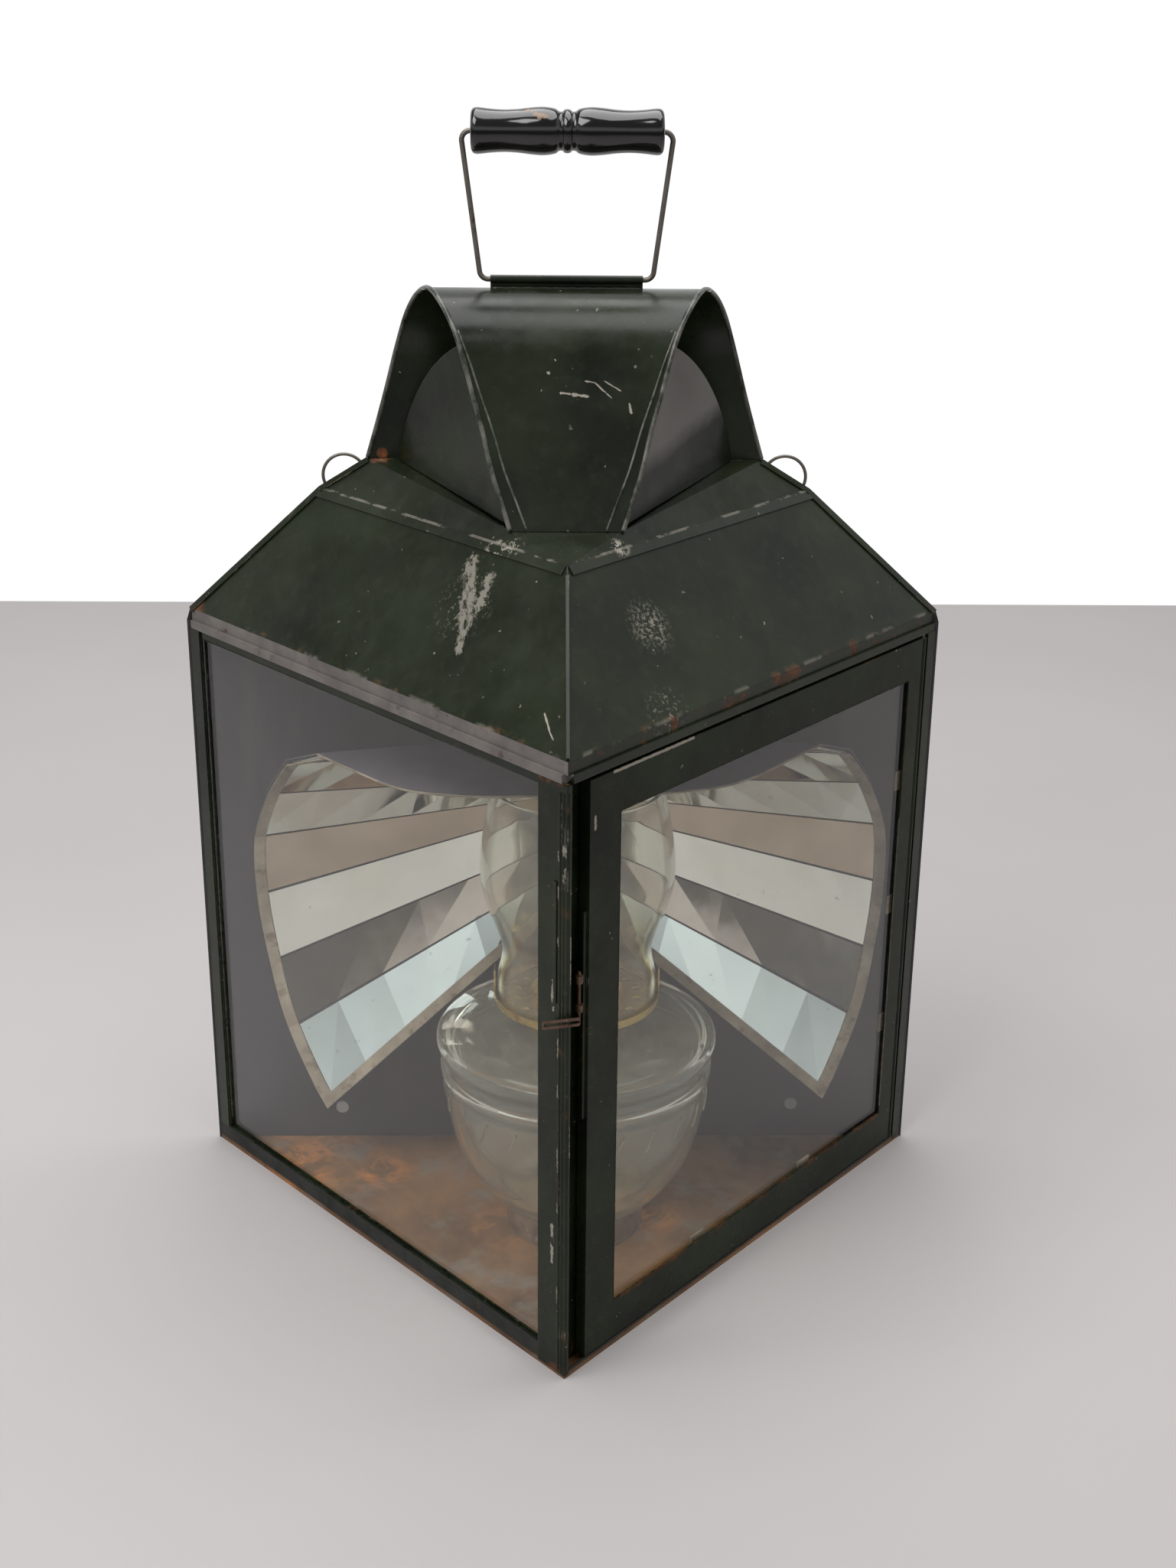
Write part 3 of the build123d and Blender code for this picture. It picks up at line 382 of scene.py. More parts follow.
def dull_paint(name):
    """The inside of the case: flat, dusty purple-grey paint with stains."""
    s = Shader(name)
    colour = s.mix(s.span(s.noise(9, 4, 0.6), 0.3, 0.7), (0.022, 0.018, 0.024), (0.042, 0.035, 0.044))
    drips = s.times(s.span(s.noise(16, 4, 0.6, stretch=(3, 3, 0.35)), 0.58, 0.72), 0.5)
    colour = s.mix(drips, colour, (0.075, 0.062, 0.055))
    rusty = s.times(s.edges(2.0 * MM), s.span(s.noise(70, 4, 0.7), 0.50, 0.60))
    colour = s.mix(rusty, colour, RUST_DARK)
    s.set(Base_Color=colour, Roughness=s.span(s.noise(50, 3), 0.3, 0.7, 0.42, 0.62))
    s.bump(s.noise(45, 4, 0.6), 0.15, 1.0 * MM)
    return s.material


PAN_TOP_Z = 0.001
# Centre in m, radius in mm and strength of each rust bloom on the tray
RUST_BLOOMS = ((-0.135, 0.052, 42, 1.0), (-0.100, 0.044, 26, 1.0), (0.040, 0.000, 24, 1.0),
               (-0.027, -0.012, 22, 1.0), (-0.160, 0.075, 30, 0.8))


def pan_floor(name):
    """The tray: brown stained tin with orange rust blooms near the edges."""
    s = Shader(name)
    colour = s.mix(s.span(s.noise(14, 6, 0.65), 0.32, 0.68), (0.080, 0.038, 0.016), (0.275, 0.132, 0.050))
    blooms = s.most(*[s.times(s.blob((x, y, PAN_TOP_Z), radius * MM, 0.9), share)
                      for x, y, radius, share in RUST_BLOOMS])
    broken = s.span(s.noise(48, 6, 0.72, distortion=0.6), 0.44, 0.62)
    colour = s.mix(s.times(blooms, broken), colour, (0.66, 0.235, 0.050))
    grey = s.times(s.span(s.noise(30, 5, 0.65, shift=(0.7, 0.2, 0)), 0.52, 0.66), 0.6)
    colour = s.mix(grey, colour, (0.20, 0.18, 0.155))
    skirt = s.span(s.along(UP), 0.0018, 0.0030)
    outside = s.mix(s.span(s.noise(70, 4, 0.7), 0.60, 0.70), (0.0095, 0.0110, 0.0080), RUST_DARK)
    colour = s.mix(skirt, colour, outside)
    s.set(Base_Color=colour, Roughness=s.span(s.noise(60, 4), 0.3, 0.7, 0.40, 0.75))
    s.bump(s.noise(120, 5, 0.65), 0.30, 0.8 * MM)
    return s.material


def rusty_tin(name):
    """The font's seat: brown rusted tin with paler worn patches."""
    s = Shader(name)
    colour = s.mix(s.span(s.noise(60, 5, 0.7), 0.35, 0.66), (0.120, 0.070, 0.042), (0.30, 0.185, 0.110))
    worn = s.span(s.noise(110, 4, 0.7, shift=(0.4, 0.4, 0.1)), 0.58, 0.66)
    colour = s.mix(s.times(worn, 0.6), colour, (0.30, 0.28, 0.24))
    s.set(Base_Color=colour, Roughness=s.span(s.noise(90, 3), 0.3, 0.7, 0.45, 0.75))
    s.bump(s.noise(180, 5, 0.65), 0.3, 0.6 * MM, 0.4 * MM)
    return s.material


def window_glass(name):
    """A clear pane that lamps shine through."""
    s = Shader(name)
    s.set(Base_Color=(0.93, 0.95, 0.94), Roughness=0.02, Transmission_Weight=1.0, IOR=WINDOW_IOR)
    let_light_in(s, (0.90, 0.92, 0.91))
    s.bump(s.noise(7, 2, 0.4), 0.02, 2.0 * MM)
    return s.material


def let_light_in(s, tint, surface=None):
    """Makes a glass cast only a faint tinted shadow, so that lamps light what stands behind it."""
    path = s.add("ShaderNodeLightPath")
    clear = s.add("ShaderNodeBsdfTransparent")
    clear.inputs[0].default_value = (*tint, 1.0)
    both = s.add("ShaderNodeMixShader")
    s.link(path.outputs["Is Shadow Ray"], both.inputs[0])
    s.link((surface or s.bsdf).outputs[0], both.inputs[1])
    s.link(clear.outputs[0], both.inputs[2])
    s.link(both.outputs[0], s.out.inputs["Surface"])


def lamp_glass(name, tint, ripple=0.05, haze=0.1, warm=None):
    """Blown or pressed glass with slow ripples, faint seeds and a film of dust."""
    s = Shader(name)
    colour = tint
    if warm is not None:
        low, high, amber = warm
        colour = s.mix(s.span(s.along(UP), high, low), tint, amber)
    s.set(Base_Color=colour, Roughness=s.span(s.noise(30, 4, 0.6), 0.40, 0.70, 0.012, 0.05),
          Transmission_Weight=1.0, IOR=LAMP_GLASS_IOR)
    film = s.add("ShaderNodeBsdfDiffuse")
    film.inputs[0].default_value = (0.62, 0.56, 0.45, 1.0)
    dusty = s.add("ShaderNodeMixShader")
    dust = s.noise(22, 5, 0.65, shift=(0.2, 0, 0.5))
    s.put(dusty.inputs[0], s.span(dust, 0.30, 0.75, 0.55 * haze, 1.5 * haze))
    s.link(s.bsdf.outputs[0], dusty.inputs[1])
    s.link(film.outputs[0], dusty.inputs[2])
    seeds = s.span(s.noise(380, 1, 0.3), 0.74, 0.80)
    s.bump(s.math("ADD", s.noise(24, 2, 0.4), s.times(seeds, 0.4)), ripple, 1.5 * MM)
    let_light_in(s, tuple(0.94 * c for c in tint), dusty)
    return s.material


def silvered(name, tint, cloudy, stained):
    """An old mirror strip: silver that has clouded, yellowed and spotted."""
    s = Shader(name)
    cloud = s.span(s.noise(26, 5, 0.65), 0.38, 0.72)
    spots = s.span(s.noise(170, 4, 0.7, shift=(0.4, 0.1, 0.3)), 0.66, 0.72)
    # The second tint is partly staining and partly painted shade
    colour = s.mix(s.times(cloud, cloudy), tint, stained)
    colour = s.mix(s.times(spots, 0.35), colour, (0.22, 0.19, 0.16))
    s.set(Base_Color=colour, Metallic=1.0, Roughness=s.span(cloud, 0, 1, 0.03, 0.05 + 0.18 * cloudy))
    s.bump(s.noise(16, 2, 0.5), 0.04, 1.0 * MM)
    return s.material


def tan_tin(name):
    """The reflector's shell and folded rim: buff paint gone brown."""
    s = Shader(name)
    colour = s.mix(s.span(s.noise(40, 5, 0.65), 0.35, 0.68), (0.20, 0.150, 0.100), (0.42, 0.34, 0.25))
    stains = s.span(s.noise(85, 4, 0.7, shift=(0.3, 0.3, 0)), 0.56, 0.66)
    colour = s.mix(s.times(stains, 0.6), colour, (0.11, 0.06, 0.035))
    s.set(Base_Color=colour, Metallic=0.0, Roughness=s.span(s.noise(60, 3), 0.3, 0.7, 0.38, 0.62))
    s.bump(s.noise(130, 4, 0.6), 0.25, 0.6 * MM)
    return s.material


def shell_tin(name):
    """The reflector's back and visor: grey-purple weathered tin."""
    s = Shader(name)
    colour = s.mix(s.span(s.noise(13, 4, 0.6), 0.35, 0.65), (0.075, 0.066, 0.078), (0.125, 0.112, 0.125))
    stains = s.span(s.noise(60, 4, 0.7), 0.60, 0.70)
    colour = s.mix(s.times(stains, 0.4), colour, (0.12, 0.08, 0.05))
    s.set(Base_Color=colour, Roughness=s.span(s.noise(50, 3), 0.3, 0.7, 0.34, 0.52))
    s.bump(s.noise(60, 4, 0.6), 0.15, 0.8 * MM)
    return s.material


def tarnished_brass(name):
    """Burner brass, yellow where it's rubbed and brown where it's tarnished."""
    s = Shader(name)
    tarnish = s.span(s.noise(55, 5, 0.65), 0.42, 0.66)
    colour = s.mix(tarnish, (0.80, 0.60, 0.22), (0.38, 0.24, 0.085))
    s.set(Base_Color=colour, Metallic=1.0, Roughness=s.span(tarnish, 0, 1, 0.20, 0.42))
    s.bump(s.noise(140, 4, 0.6), 0.12, 0.5 * MM)
    return s.material


def dull_wire(name, colour=(0.20, 0.18, 0.155), rust=0.2):
    """Bare drawn wire under a skin of grime and rust."""
    s = Shader(name)
    grime = s.span(s.noise(150, 5, 0.7), 0.60 - 0.2 * rust, 0.72 - 0.2 * rust)
    s.set(Base_Color=s.mix(grime, colour, RUST_DARK), Metallic=s.span(grime, 0, 1, 0.85, 0.1),
          Roughness=s.span(s.noise(90, 3), 0.3, 0.7, 0.36, 0.60))
    s.bump(s.noise(600, 3, 0.6), 0.2, 0.3 * MM)
    return s.material


def lacquered_wood(name):
    """Black gloss lacquer on turned wood, rubbed through in a few spots."""
    s = Shader(name)
    grain = s.noise(60, 4, 0.6, stretch=(0.12, 1, 1))
    worn = s.times(s.span(s.noise(85, 4, 0.65, shift=(0.15, 0.2, 0.6)), 0.655, 0.69),
                   s.span(s.noise(22, 2, 0.5, shift=(0.4, 0, 0)), 0.50, 0.56))
    colour = s.mix(s.span(grain, 0.4, 0.7), (0.0045, 0.0040, 0.0048), (0.0085, 0.0072, 0.0080))
    colour = s.mix(worn, colour, (0.20, 0.115, 0.055))
    rough = s.math("ADD", s.span(grain, 0.3, 0.7, 0.10, 0.20), s.times(worn, 0.35))
    s.set(Base_Color=colour, Roughness=rough, Coat_Weight=0.6, Coat_Roughness=0.08)
    s.bump(s.math("ADD", s.times(grain, 0.5), s.times(worn, -0.3)), 0.10, 0.5 * MM)
    return s.material


def woven_cotton(name):
    """The wick's weave, charred at its top."""
    s = Shader(name)
    weave = s.add("ShaderNodeTexWave", wave_type="BANDS", bands_direction="Z")
    s.link(s.place, weave.inputs["Vector"])
    weave.inputs["Scale"].default_value = 260
    charred = s.span(s.along(UP), 0.154, 0.158)
    colour = s.mix(weave.outputs["Fac"], (0.50, 0.44, 0.34), (0.66, 0.60, 0.50))
    s.set(Base_Color=s.mix(charred, colour, (0.02, 0.018, 0.016)), Roughness=0.9)
    s.bump(weave.outputs["Fac"], 0.5, 0.4 * MM)
    return s.material


def rubbed_and_highlit_edge(name):
    """Enamel rubbed down to grey tin along a rolled edge, the grey also a painted highlight along the bead.
    """
    s = Shader(name)
    # Rubbed tin and painted highlight together
    worn = s.span(s.noise(90, 5, 0.7, stretch=(1, 1, 0.5)), 0.40, 0.60)
    colour = s.mix(worn, (0.020, 0.024, 0.016), (0.185, 0.180, 0.155))
    s.set(Base_Color=colour, Roughness=s.span(worn, 0, 1, 0.24, 0.42), Metallic=s.times(worn, 0.4))
    s.bump(s.noise(220, 4, 0.6), 0.15, 0.4 * MM)
    return s.material


def painted_sheen_plate(name):
    """The hood's right plate: a painted sheen, grey above a wavy line, with the dark lower part below it."""
    s = Shader(name)
    # Painted sheen: above a line that rises across the plate, the colour turns a lighter grey
    curve = s.math("ADD", s.along(UP), s.times(s.along((1, 0, 0)), -0.35))
    curve = s.math("ADD", curve, s.times(s.noise(14, 3, 0.5), 0.022))
    shine = s.span(curve, 0.392, 0.402)
    sheen_grey = s.mix(s.noise(30, 4, 0.6), (0.120, 0.112, 0.104), (0.190, 0.180, 0.168))
    colour = s.mix(shine, (0.012, 0.015, 0.010), sheen_grey)
    s.set(Base_Color=colour, Roughness=s.span(s.noise(50, 3), 0.3, 0.7, 0.16, 0.28))
    s.bump(s.noise(40, 3, 0.5), 0.12, 0.8 * MM)
    return s.material


def flange_painted_lit(name):
    """The left eave's flange: pale grey painted as lit where the light falls on it, with rusty nicks."""
    s = Shader(name)
    colour = s.mix(s.span(s.noise(60, 4, 0.6), 0.35, 0.65), (0.120, 0.108, 0.102), (0.190, 0.172, 0.155))
    nicks = s.span(s.noise(110, 4, 0.7, shift=(0.3, 0.2, 0.8)), 0.62, 0.70)
    s.set(Base_Color=s.mix(nicks, colour, RUST_DARK), Roughness=s.span(s.noise(80, 3), 0.3, 0.7, 0.35, 0.55))
    s.bump(s.noise(90, 4, 0.6), 0.2, 0.6 * MM)
    return s.material


PAINT = green_paint("enamel_green")
HIGHLIT_EDGE = rubbed_and_highlit_edge("rubbed_and_highlit_edge")
# Pale grey painted light for the lit left side of the eave
LIT_FLANGE = flange_painted_lit("flange_painted_lit")
SMOOTH_PAINT = green_paint("enamel_baffle", rust=0.0, wear=0.3, gloss=0.5)
# The right baffle's grey upper part is a painted sheen
SHEEN_PLATE = painted_sheen_plate("baffle_painted_sheen")
ROOF = green_paint("enamel_roof", rust=0.2, wear=0.4, marks=roof_marks, gloss=0.38)
HOOD = green_paint("enamel_hood", rust=0.2, wear=0.7, marks=hood_marks)
CROWN = green_paint("enamel_crown", rust=0.1, wear=0.0, marks=crown_marks, gloss=0.60)
HIP = green_paint("enamel_hip", rust=0.0, wear=-0.6, marks=hip_marks)
POST = green_paint("enamel_post", rust=0.6, wear=0.8, marks=post_marks, gloss=0.26)
DOOR = green_paint("enamel_door", rust=0.5, wear=0.6, marks=door_marks, gloss=0.16)
INSIDE = dull_paint("case_inside")
BACK = green_paint("enamel_back", rust=0.5, wear=0.9, marks=back_marks)
PAN = pan_floor("tray")
PANE = window_glass("pane_glass")
CHIMNEY = lamp_glass("chimney_glass", (0.975, 0.97, 0.93), 0.06, 0.07, (0.136, 0.190, (0.98, 0.82, 0.36)))
FONT = lamp_glass("font_glass", (0.950, 0.940, 0.880), 0.14, 0.075)

# Silver tint, cloudiness and stained tint of each mirror strip, from the lowest up; the tints also hold
# painted shade and painted reflection, the darkest fourth strip darkened where it mirrors shadowed cloth
MIRROR_TONES = (
    ((0.86, 0.94, 0.92), 0.30, (0.70, 0.78, 0.77)),
    ((0.78, 0.71, 0.63), 0.55, (0.58, 0.49, 0.39)),
    ((0.88, 0.87, 0.78), 0.30, (0.70, 0.68, 0.60)),
    ((0.46, 0.37, 0.28), 0.70, (0.30, 0.22, 0.15)),
    ((0.74, 0.72, 0.63), 0.45, (0.52, 0.48, 0.38)),
    ((0.66, 0.62, 0.53), 0.50, (0.50, 0.44, 0.35)),
    ((0.70, 0.68, 0.60), 0.50, (0.50, 0.46, 0.38)),
)
MIRRORS = [silvered(f"mirror_aged_and_shaded_{i}", *tone) for i, tone in enumerate(MIRROR_TONES)]
RIM_TIN = tan_tin("rim_tin")
SHELL = shell_tin("shell_tin")
BRASS = tarnished_brass("burner_brass")
WIRE = dull_wire("bail_steel")
RUSTY = dull_wire("latch_steel", (0.16, 0.10, 0.07), 0.9)
BRIGHT = dull_wire("bright_tin", (0.66, 0.70, 0.74), 0.0)
SEAT = rusty_tin("seat_tin")
WOOD = lacquered_wood("black_lacquer")
COTTON = woven_cotton("wick_cotton")

LOOKS = {
    "base_pan": PAN, "back_wall": INSIDE, "front_post": POST, "left_jamb": PAINT, "right_jamb": PAINT,
    "head_frame": LIT_FLANGE, "left_pane_frame": PAINT, "left_glass": PANE, "hip_seam": HIP, "crown_apron": CROWN,
    "hood": HOOD, "handle_tube": HOOD, "bail_wire": WIRE, "grip": WOOD, "loop_clips": WIRE,
    "door_frame": DOOR, "hinge_pin": WIRE, "door_glass": PANE, "glass_tabs": RIM_TIN, "latch_hook": RUSTY,
    "latch_eye": RUSTY, "latch_keeper": POST, "reflector_bracket": SHELL, "wall_rivets": BRIGHT,
    "lamp_seat": SEAT, "font": FONT,
    "burner_collar": BRASS, "burner_body": BRASS, "burner_gallery": BRASS, "wick_tube": BRASS,
    "flame_spreader": BRASS, "wick": COTTON, "wick_knob": BRASS, "chimney": CHIMNEY, "roof_left": ROOF,
    "roof_right": ROOF, "crown_left": CROWN, "crown_right": CROWN, "baffle_left": SMOOTH_PAINT,
    "baffle_right": SHEEN_PLATE, "reflector_shell_left": SHELL, "reflector_shell_right": SHELL,
    "mirror_strips_left": MIRRORS[0], "mirror_strips_right": MIRRORS[0], "reflector_rim_left": RIM_TIN,
    "reflector_rim_right": RIM_TIN, "hanging_loop_left": WIRE, "hanging_loop_right": WIRE,
}

for node_name, look in LOOKS.items():
    node = NODES[node_name]
    node.data.materials.clear()
    node.data.materials.append(look)


# A node whose strips or faces need more than one material

def separate_pieces(mesh):
    """The polygons of each loose part of a mesh, lowest part first."""
    parent = list(range(len(mesh.vertices)))

    def root(i):
        while parent[i] != i:
            parent[i] = parent[parent[i]]
            i = parent[i]
        return i

    first_at = {}
    for vertex in mesh.vertices:
        key = tuple(round(c * MICRONS) for c in vertex.co)
        parent[root(vertex.index)] = root(first_at.setdefault(key, vertex.index))
    for edge in mesh.edges:
        parent[root(edge.vertices[0])] = root(edge.vertices[1])
    groups = {}
    for polygon in mesh.polygons:
        groups.setdefault(root(polygon.vertices[0]), []).append(polygon)
    return sorted(groups.values(), key=lambda group: sum(p.center.z for p in group) / len(group))


for node_name in ("mirror_strips_left", "mirror_strips_right"):
    mesh = NODES[node_name].data
    for look in MIRRORS[1:]:
        mesh.materials.append(look)
    for level, group in enumerate(separate_pieces(mesh)):
        for polygon in group:
            polygon.material_index = min(level, len(MIRRORS) - 1)


def second_look(node_name, look, belongs):
    """Gives a node's polygons that belong a second material."""
    mesh = NODES[node_name].data
    mesh.materials.append(look)
    for polygon in mesh.polygons:
        if belongs(polygon):
            polygon.material_index = 1


second_look("back_wall", BACK, lambda polygon: polygon.normal.y > 0.5 or polygon.center.z > EAVE_Z)
# Lit and shaded copies: the head frame's right side takes the dark enamel and its left side the painted-lit
# pale flange
second_look("head_frame", PAINT, lambda polygon: polygon.center.x > 1 * MM)
# The left roof's eave skirt also takes the painted-lit pale flange
second_look("roof_left", LIT_FLANGE, lambda polygon: abs(polygon.normal.z) < 0.1 and polygon.center.z < EAVE_Z)


# Added pieces ------------------------------------------------------------------------------------

def add_piece(name, vertices, faces, look, body, slot, stands_for=()):
    """Makes a smooth piece that rides on a body and, where it says so, stands for CAD nodes."""
    mesh = bpy.data.meshes.new(name)
    mesh.from_pydata([tuple(v) for v in vertices], [], faces)
    mesh.materials.append(look)
    mesh.polygons.foreach_set("use_smooth", [True] * len(faces))
    mesh.update()
    piece = bpy.data.objects.new(name, mesh)
    bpy.context.collection.objects.link(piece)
    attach(piece, body)
    if stands_for:
        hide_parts(*stands_for)


def smoothed(points, parts=6):
    """More points on a smooth line through the given ones."""
    points = [Vector(p) for p in points]
    line = []
    for i in range(len(points) - 1):
        a, b = points[max(i - 1, 0)], points[i]
        c, d = points[i + 1], points[min(i + 2, len(points) - 1)]
        for k in range(parts):
            t = k / parts
            line.append(0.5 * (2 * b + (c - a) * t + (2 * a - 5 * b + 4 * c - d) * t ** 2
                               + (3 * b - a - 3 * c + d) * t ** 3))
    return line + [points[-1]]


def tube(points, radius, sides=10):
    """Vertices and faces of a round bar along a line, with closed ends."""
    vertices, faces = [], []
    side = None
    for i, point in enumerate(points):
        ahead = (points[min(i + 1, len(points) - 1)] - points[max(i - 1, 0)]).normalized()
        if side is None:
            side = ahead.orthogonal().normalized()
        side = (side - ahead * side.dot(ahead)).normalized()
        other = ahead.cross(side)
        for k in range(sides):
            angle = 2 * math.pi * k / sides
            vertices.append(point + (side * math.cos(angle) + other * math.sin(angle)) * radius)
        if i:
            for k in range(sides):
                a, b = (i - 1) * sides + k, (i - 1) * sides + (k + 1) % sides
                faces.append((a, b, b + sides, a + sides))
    last = (len(points) - 1) * sides
    faces.append(tuple(reversed(range(sides))))
    faces.append(tuple(last + k for k in range(sides)))
    return vertices, faces


def joined(parts):
    """Several (vertices, faces) pairs as one."""
    vertices, faces = [], []
    for more_vertices, more_faces in parts:
        start = len(vertices)
        vertices += more_vertices
        faces += [tuple(start + i for i in face) for face in more_faces]
    return vertices, faces


def lathe(profile, centre, segments, axis="Z"):
    """A closed (radius, height) outline turned about an upright or a crosswise axis."""
    vertices, faces = [], []
    count = len(profile)
    for k in range(segments):
        angle = 2 * math.pi * k / segments
        for radius, height in profile:
            if axis == "Z":
                offset = Vector((radius * math.cos(angle), radius * math.sin(angle), height))
            else:
                offset = Vector((height, radius * math.cos(angle), radius * math.sin(angle)))
            vertices.append(Vector(centre) + offset)
    for k in range(segments):
        here, there = k * count, (k + 1) % segments * count
        for i in range(count):
            j = (i + 1) % count
            faces.append((here + i, there + i, there + j, here + j) if axis == "Z" else
                         (here + i, here + j, there + j, there + i))
    return vertices, faces


# The hood's outline from its crest, close to the CAD's: half width and height, in mm, down its front edge
# and its rear edge, both stopping just above the roof
HOOD_FRONT_EDGE = ((63.0, 472.0), (56.0, 467.0), (50.5, 458.0), (46.3, 446.0), (42.1, 431.0), (38.0, 417.0),
                   (33.9, 400.0), (29.4, 386.5), (25.5, 374.5))
HOOD_REAR_EDGE = ((63.0, 472.0), (69.5, 467.0), (75.5, 456.0), (81.0, 439.0), (86.7, 418.0), (91.6, 401.0),
                  (96.6, 384.5))
HOOD_RIM_R, CREASE_R = 1.15 * MM, 0.55 * MM
CREASE_INSET_TOP, CREASE_SPREAD = 1.6, 6.0       # mm from the rim at the top, and how much more at the foot


def hood_rear_y(z):
    """Depth of the hood's rear at a height: upright below, the crest's arc above."""
    cy, cz = HOOD_CENTRE
    return cy + math.sqrt(max(HOOD_R ** 2 - max(z - cz, 0.0) ** 2, 0.0)) - 0.5 * MM


def hood_rims():
    """The rolled edges round the hood's two ends, and the creases beside them on the front."""
    rims, creases = [], []
    top, foot = HOOD_FRONT_EDGE[2][1], HOOD_FRONT_EDGE[-1][1]
    for sign in (-1, 1):
        front = [(sign * x * MM, hood_front_y(z * MM), z * MM) for x, z in HOOD_FRONT_EDGE]
        rear = [(sign * x * MM, hood_rear_y(z * MM), z * MM) for x, z in HOOD_REAR_EDGE]
        rims.append(tube(smoothed(list(reversed(front)) + rear[1:], 8), HOOD_RIM_R))
        inner = []
        for x, z in HOOD_FRONT_EDGE[2:]:
            inset = CREASE_INSET_TOP + CREASE_SPREAD * (top - z) / (top - foot)
            inner.append((sign * (x - inset) * MM, hood_front_y(z * MM) - 0.1 * MM, z * MM))
        creases.append(tube(smoothed(inner, 6), CREASE_R, 8))
    return joined(rims), joined(creases)


# The visor's free edge in mm, from its right end to the centre, before the reflector's lean
VISOR_EDGE = ((122.0, 25.7, 252.0), (118.0, 21.0, 252.0), (103.0, 4.0, 252.0), (88.0, -13.0, 252.0),
              (73.0, -27.0, 253.0), (57.0, -37.0, 255.0), (38.0, -43.0, 256.0), (0, -46.0, 257.0))
REFLECTOR_X, REFLECTOR_PIVOT_Z, REFLECTOR_LEAN = 4.5, 150.0, math.radians(-1.3)
VISOR_BEAD_R = 0.6 * MM


def visor_edge():
    """The bead along the visor's free edge, leaning with the reflector."""
    line = [(-x, y, z) for x, y, z in VISOR_EDGE] + list(reversed(VISOR_EDGE[:-1]))
    lean = Matrix.Translation((REFLECTOR_X, 0, REFLECTOR_PIVOT_Z)) @ Matrix.Rotation(REFLECTOR_LEAN, 4, "Y") \
        @ Matrix.Translation((0, 0, -REFLECTOR_PIVOT_Z))
    return tube([(lean @ p) * MM for p in smoothed(line, 6)], VISOR_BEAD_R, 8)


# Radius and height, in mm, of the lamp's glass outlines; the chimney's heights are above its base
LAMP = (6.5 * MM, 0.0, 0.0)
FONT_OUTSIDE = ((36.0, 18.0), (38.5, 19.2), (45.5, 27.0), (52.5, 37.0), (58.0, 47.0), (62.5, 62.0),
                (65.0, 76.0), (65.6, 84.0), (65.8, 89.5), (67.2, 91.6), (67.5, 93.5), (67.2, 95.6),
                (65.9, 97.4), (66.6, 102.5), (68.6, 106.2), (69.3, 109.0), (68.6, 111.4), (66.4, 112.9),
                (58.0, 114.8), (45.0, 116.4), (30.0, 117.4), (22.4, 118.0), (22.0, 119.5), (22.0, 121.5))
FONT_INSIDE = ((18.5, 121.5), (18.5, 116.0), (22.0, 114.8), (30.0, 114.2), (45.0, 113.2), (57.5, 111.4),
               (63.4, 108.0), (63.8, 103.0), (63.6, 98.0), (63.0, 86.0), (62.0, 76.0), (59.4, 62.6),
               (55.0, 48.6), (49.6, 39.0), (42.8, 29.4), (35.0, 24.4), (20.0, 23.4))
FONT_WELL_Z = 23.3
CHIMNEY_OUTSIDE = ((38.7, 0), (38.7, 4), (38.4, 12), (36.6, 20), (36.0, 27), (37.8, 36), (42.4, 48),
                   (45.9, 60), (46.7, 70), (46.2, 80), (44.6, 92), (42.4, 104), (41.0, 109), (39.8, 112.5))
CHIMNEY_BASE_Z = 131.25
CHIMNEY_WALL, CHIMNEY_LIP_RISE = 1.8, 0.25
GLASS_SEGMENTS = 112
NEAR_AXIS = 0.01                 # keeps a turned bottom's centre ring open by a hair
CUT_COUNT, CUT_STEPS, CUT_R = 24, 6, 0.55 * MM


def outline_3d(points, parts):
    """A smoothed outline of (radius, height), in metres."""
    return [(p.x * MM, p.z * MM) for p in smoothed([(r, 0, z) for r, z in points], parts)]


def font_glass():
    """The pressed-glass oil font as one thick wall, closed at its bottom."""
    base = [(NEAR_AXIS * MM, FONT_OUTSIDE[0][1] * MM)]
    well = [(NEAR_AXIS * MM, FONT_WELL_Z * MM)]
    outline = base + outline_3d(FONT_OUTSIDE, 5) + outline_3d(FONT_INSIDE, 5) + well
    return lathe(outline, LAMP, segments=GLASS_SEGMENTS)


def font_cuts():
    """Slanted leaf ridges pressed into the font's bowl below the rings, each swelling at its middle."""
    parts = []
    for k in range(CUT_COUNT):
        angle = 2 * math.pi * k / CUT_COUNT
        line = []
        for step in range(CUT_STEPS + 1):
            t = step / CUT_STEPS
            turn = angle + 0.075 * t
            height = 74.0 + 11.5 * t
            radius = 65.0 + 0.6 * t + 0.35 * math.sin(math.pi * t)
            place = Vector((radius * math.cos(turn), radius * math.sin(turn), height))
            line.append(place * MM + Vector(LAMP))
        parts.append(tube(line, CUT_R, 6))
    return joined(parts)


def chimney_glass():
    """The bulb chimney as a thin wall, open at both ends, with a rounded lip."""
    outer = outline_3d([(r, CHIMNEY_BASE_Z + z) for r, z in CHIMNEY_OUTSIDE], 6)
    inner = [(r - CHIMNEY_WALL * MM, z) for r, z in reversed(outer)]
    lip = [(outer[-1][0] - CHIMNEY_WALL / 2 * MM, outer[-1][1] + CHIMNEY_LIP_RISE * MM)]
    return lathe(outer + lip + inner, LAMP, segments=GLASS_SEGMENTS)


# Distance from the middle and radius, in mm, along one half of the grip
GRIP_OUTLINE = ((0.0, 9.6), (1.4, 9.3), (2.4, 8.5), (3.6, 8.6), (5.6, 9.8), (10.5, 10.5), (16.0, 10.2),
                (22.0, 9.5), (28.0, 9.2), (34.0, 9.5), (39.5, 10.1), (41.6, 10.0), (42.8, 9.2), (43.3, 8.0))
GRIP_BORE, GRIP_SEGMENTS = 1.25 * MM, 72


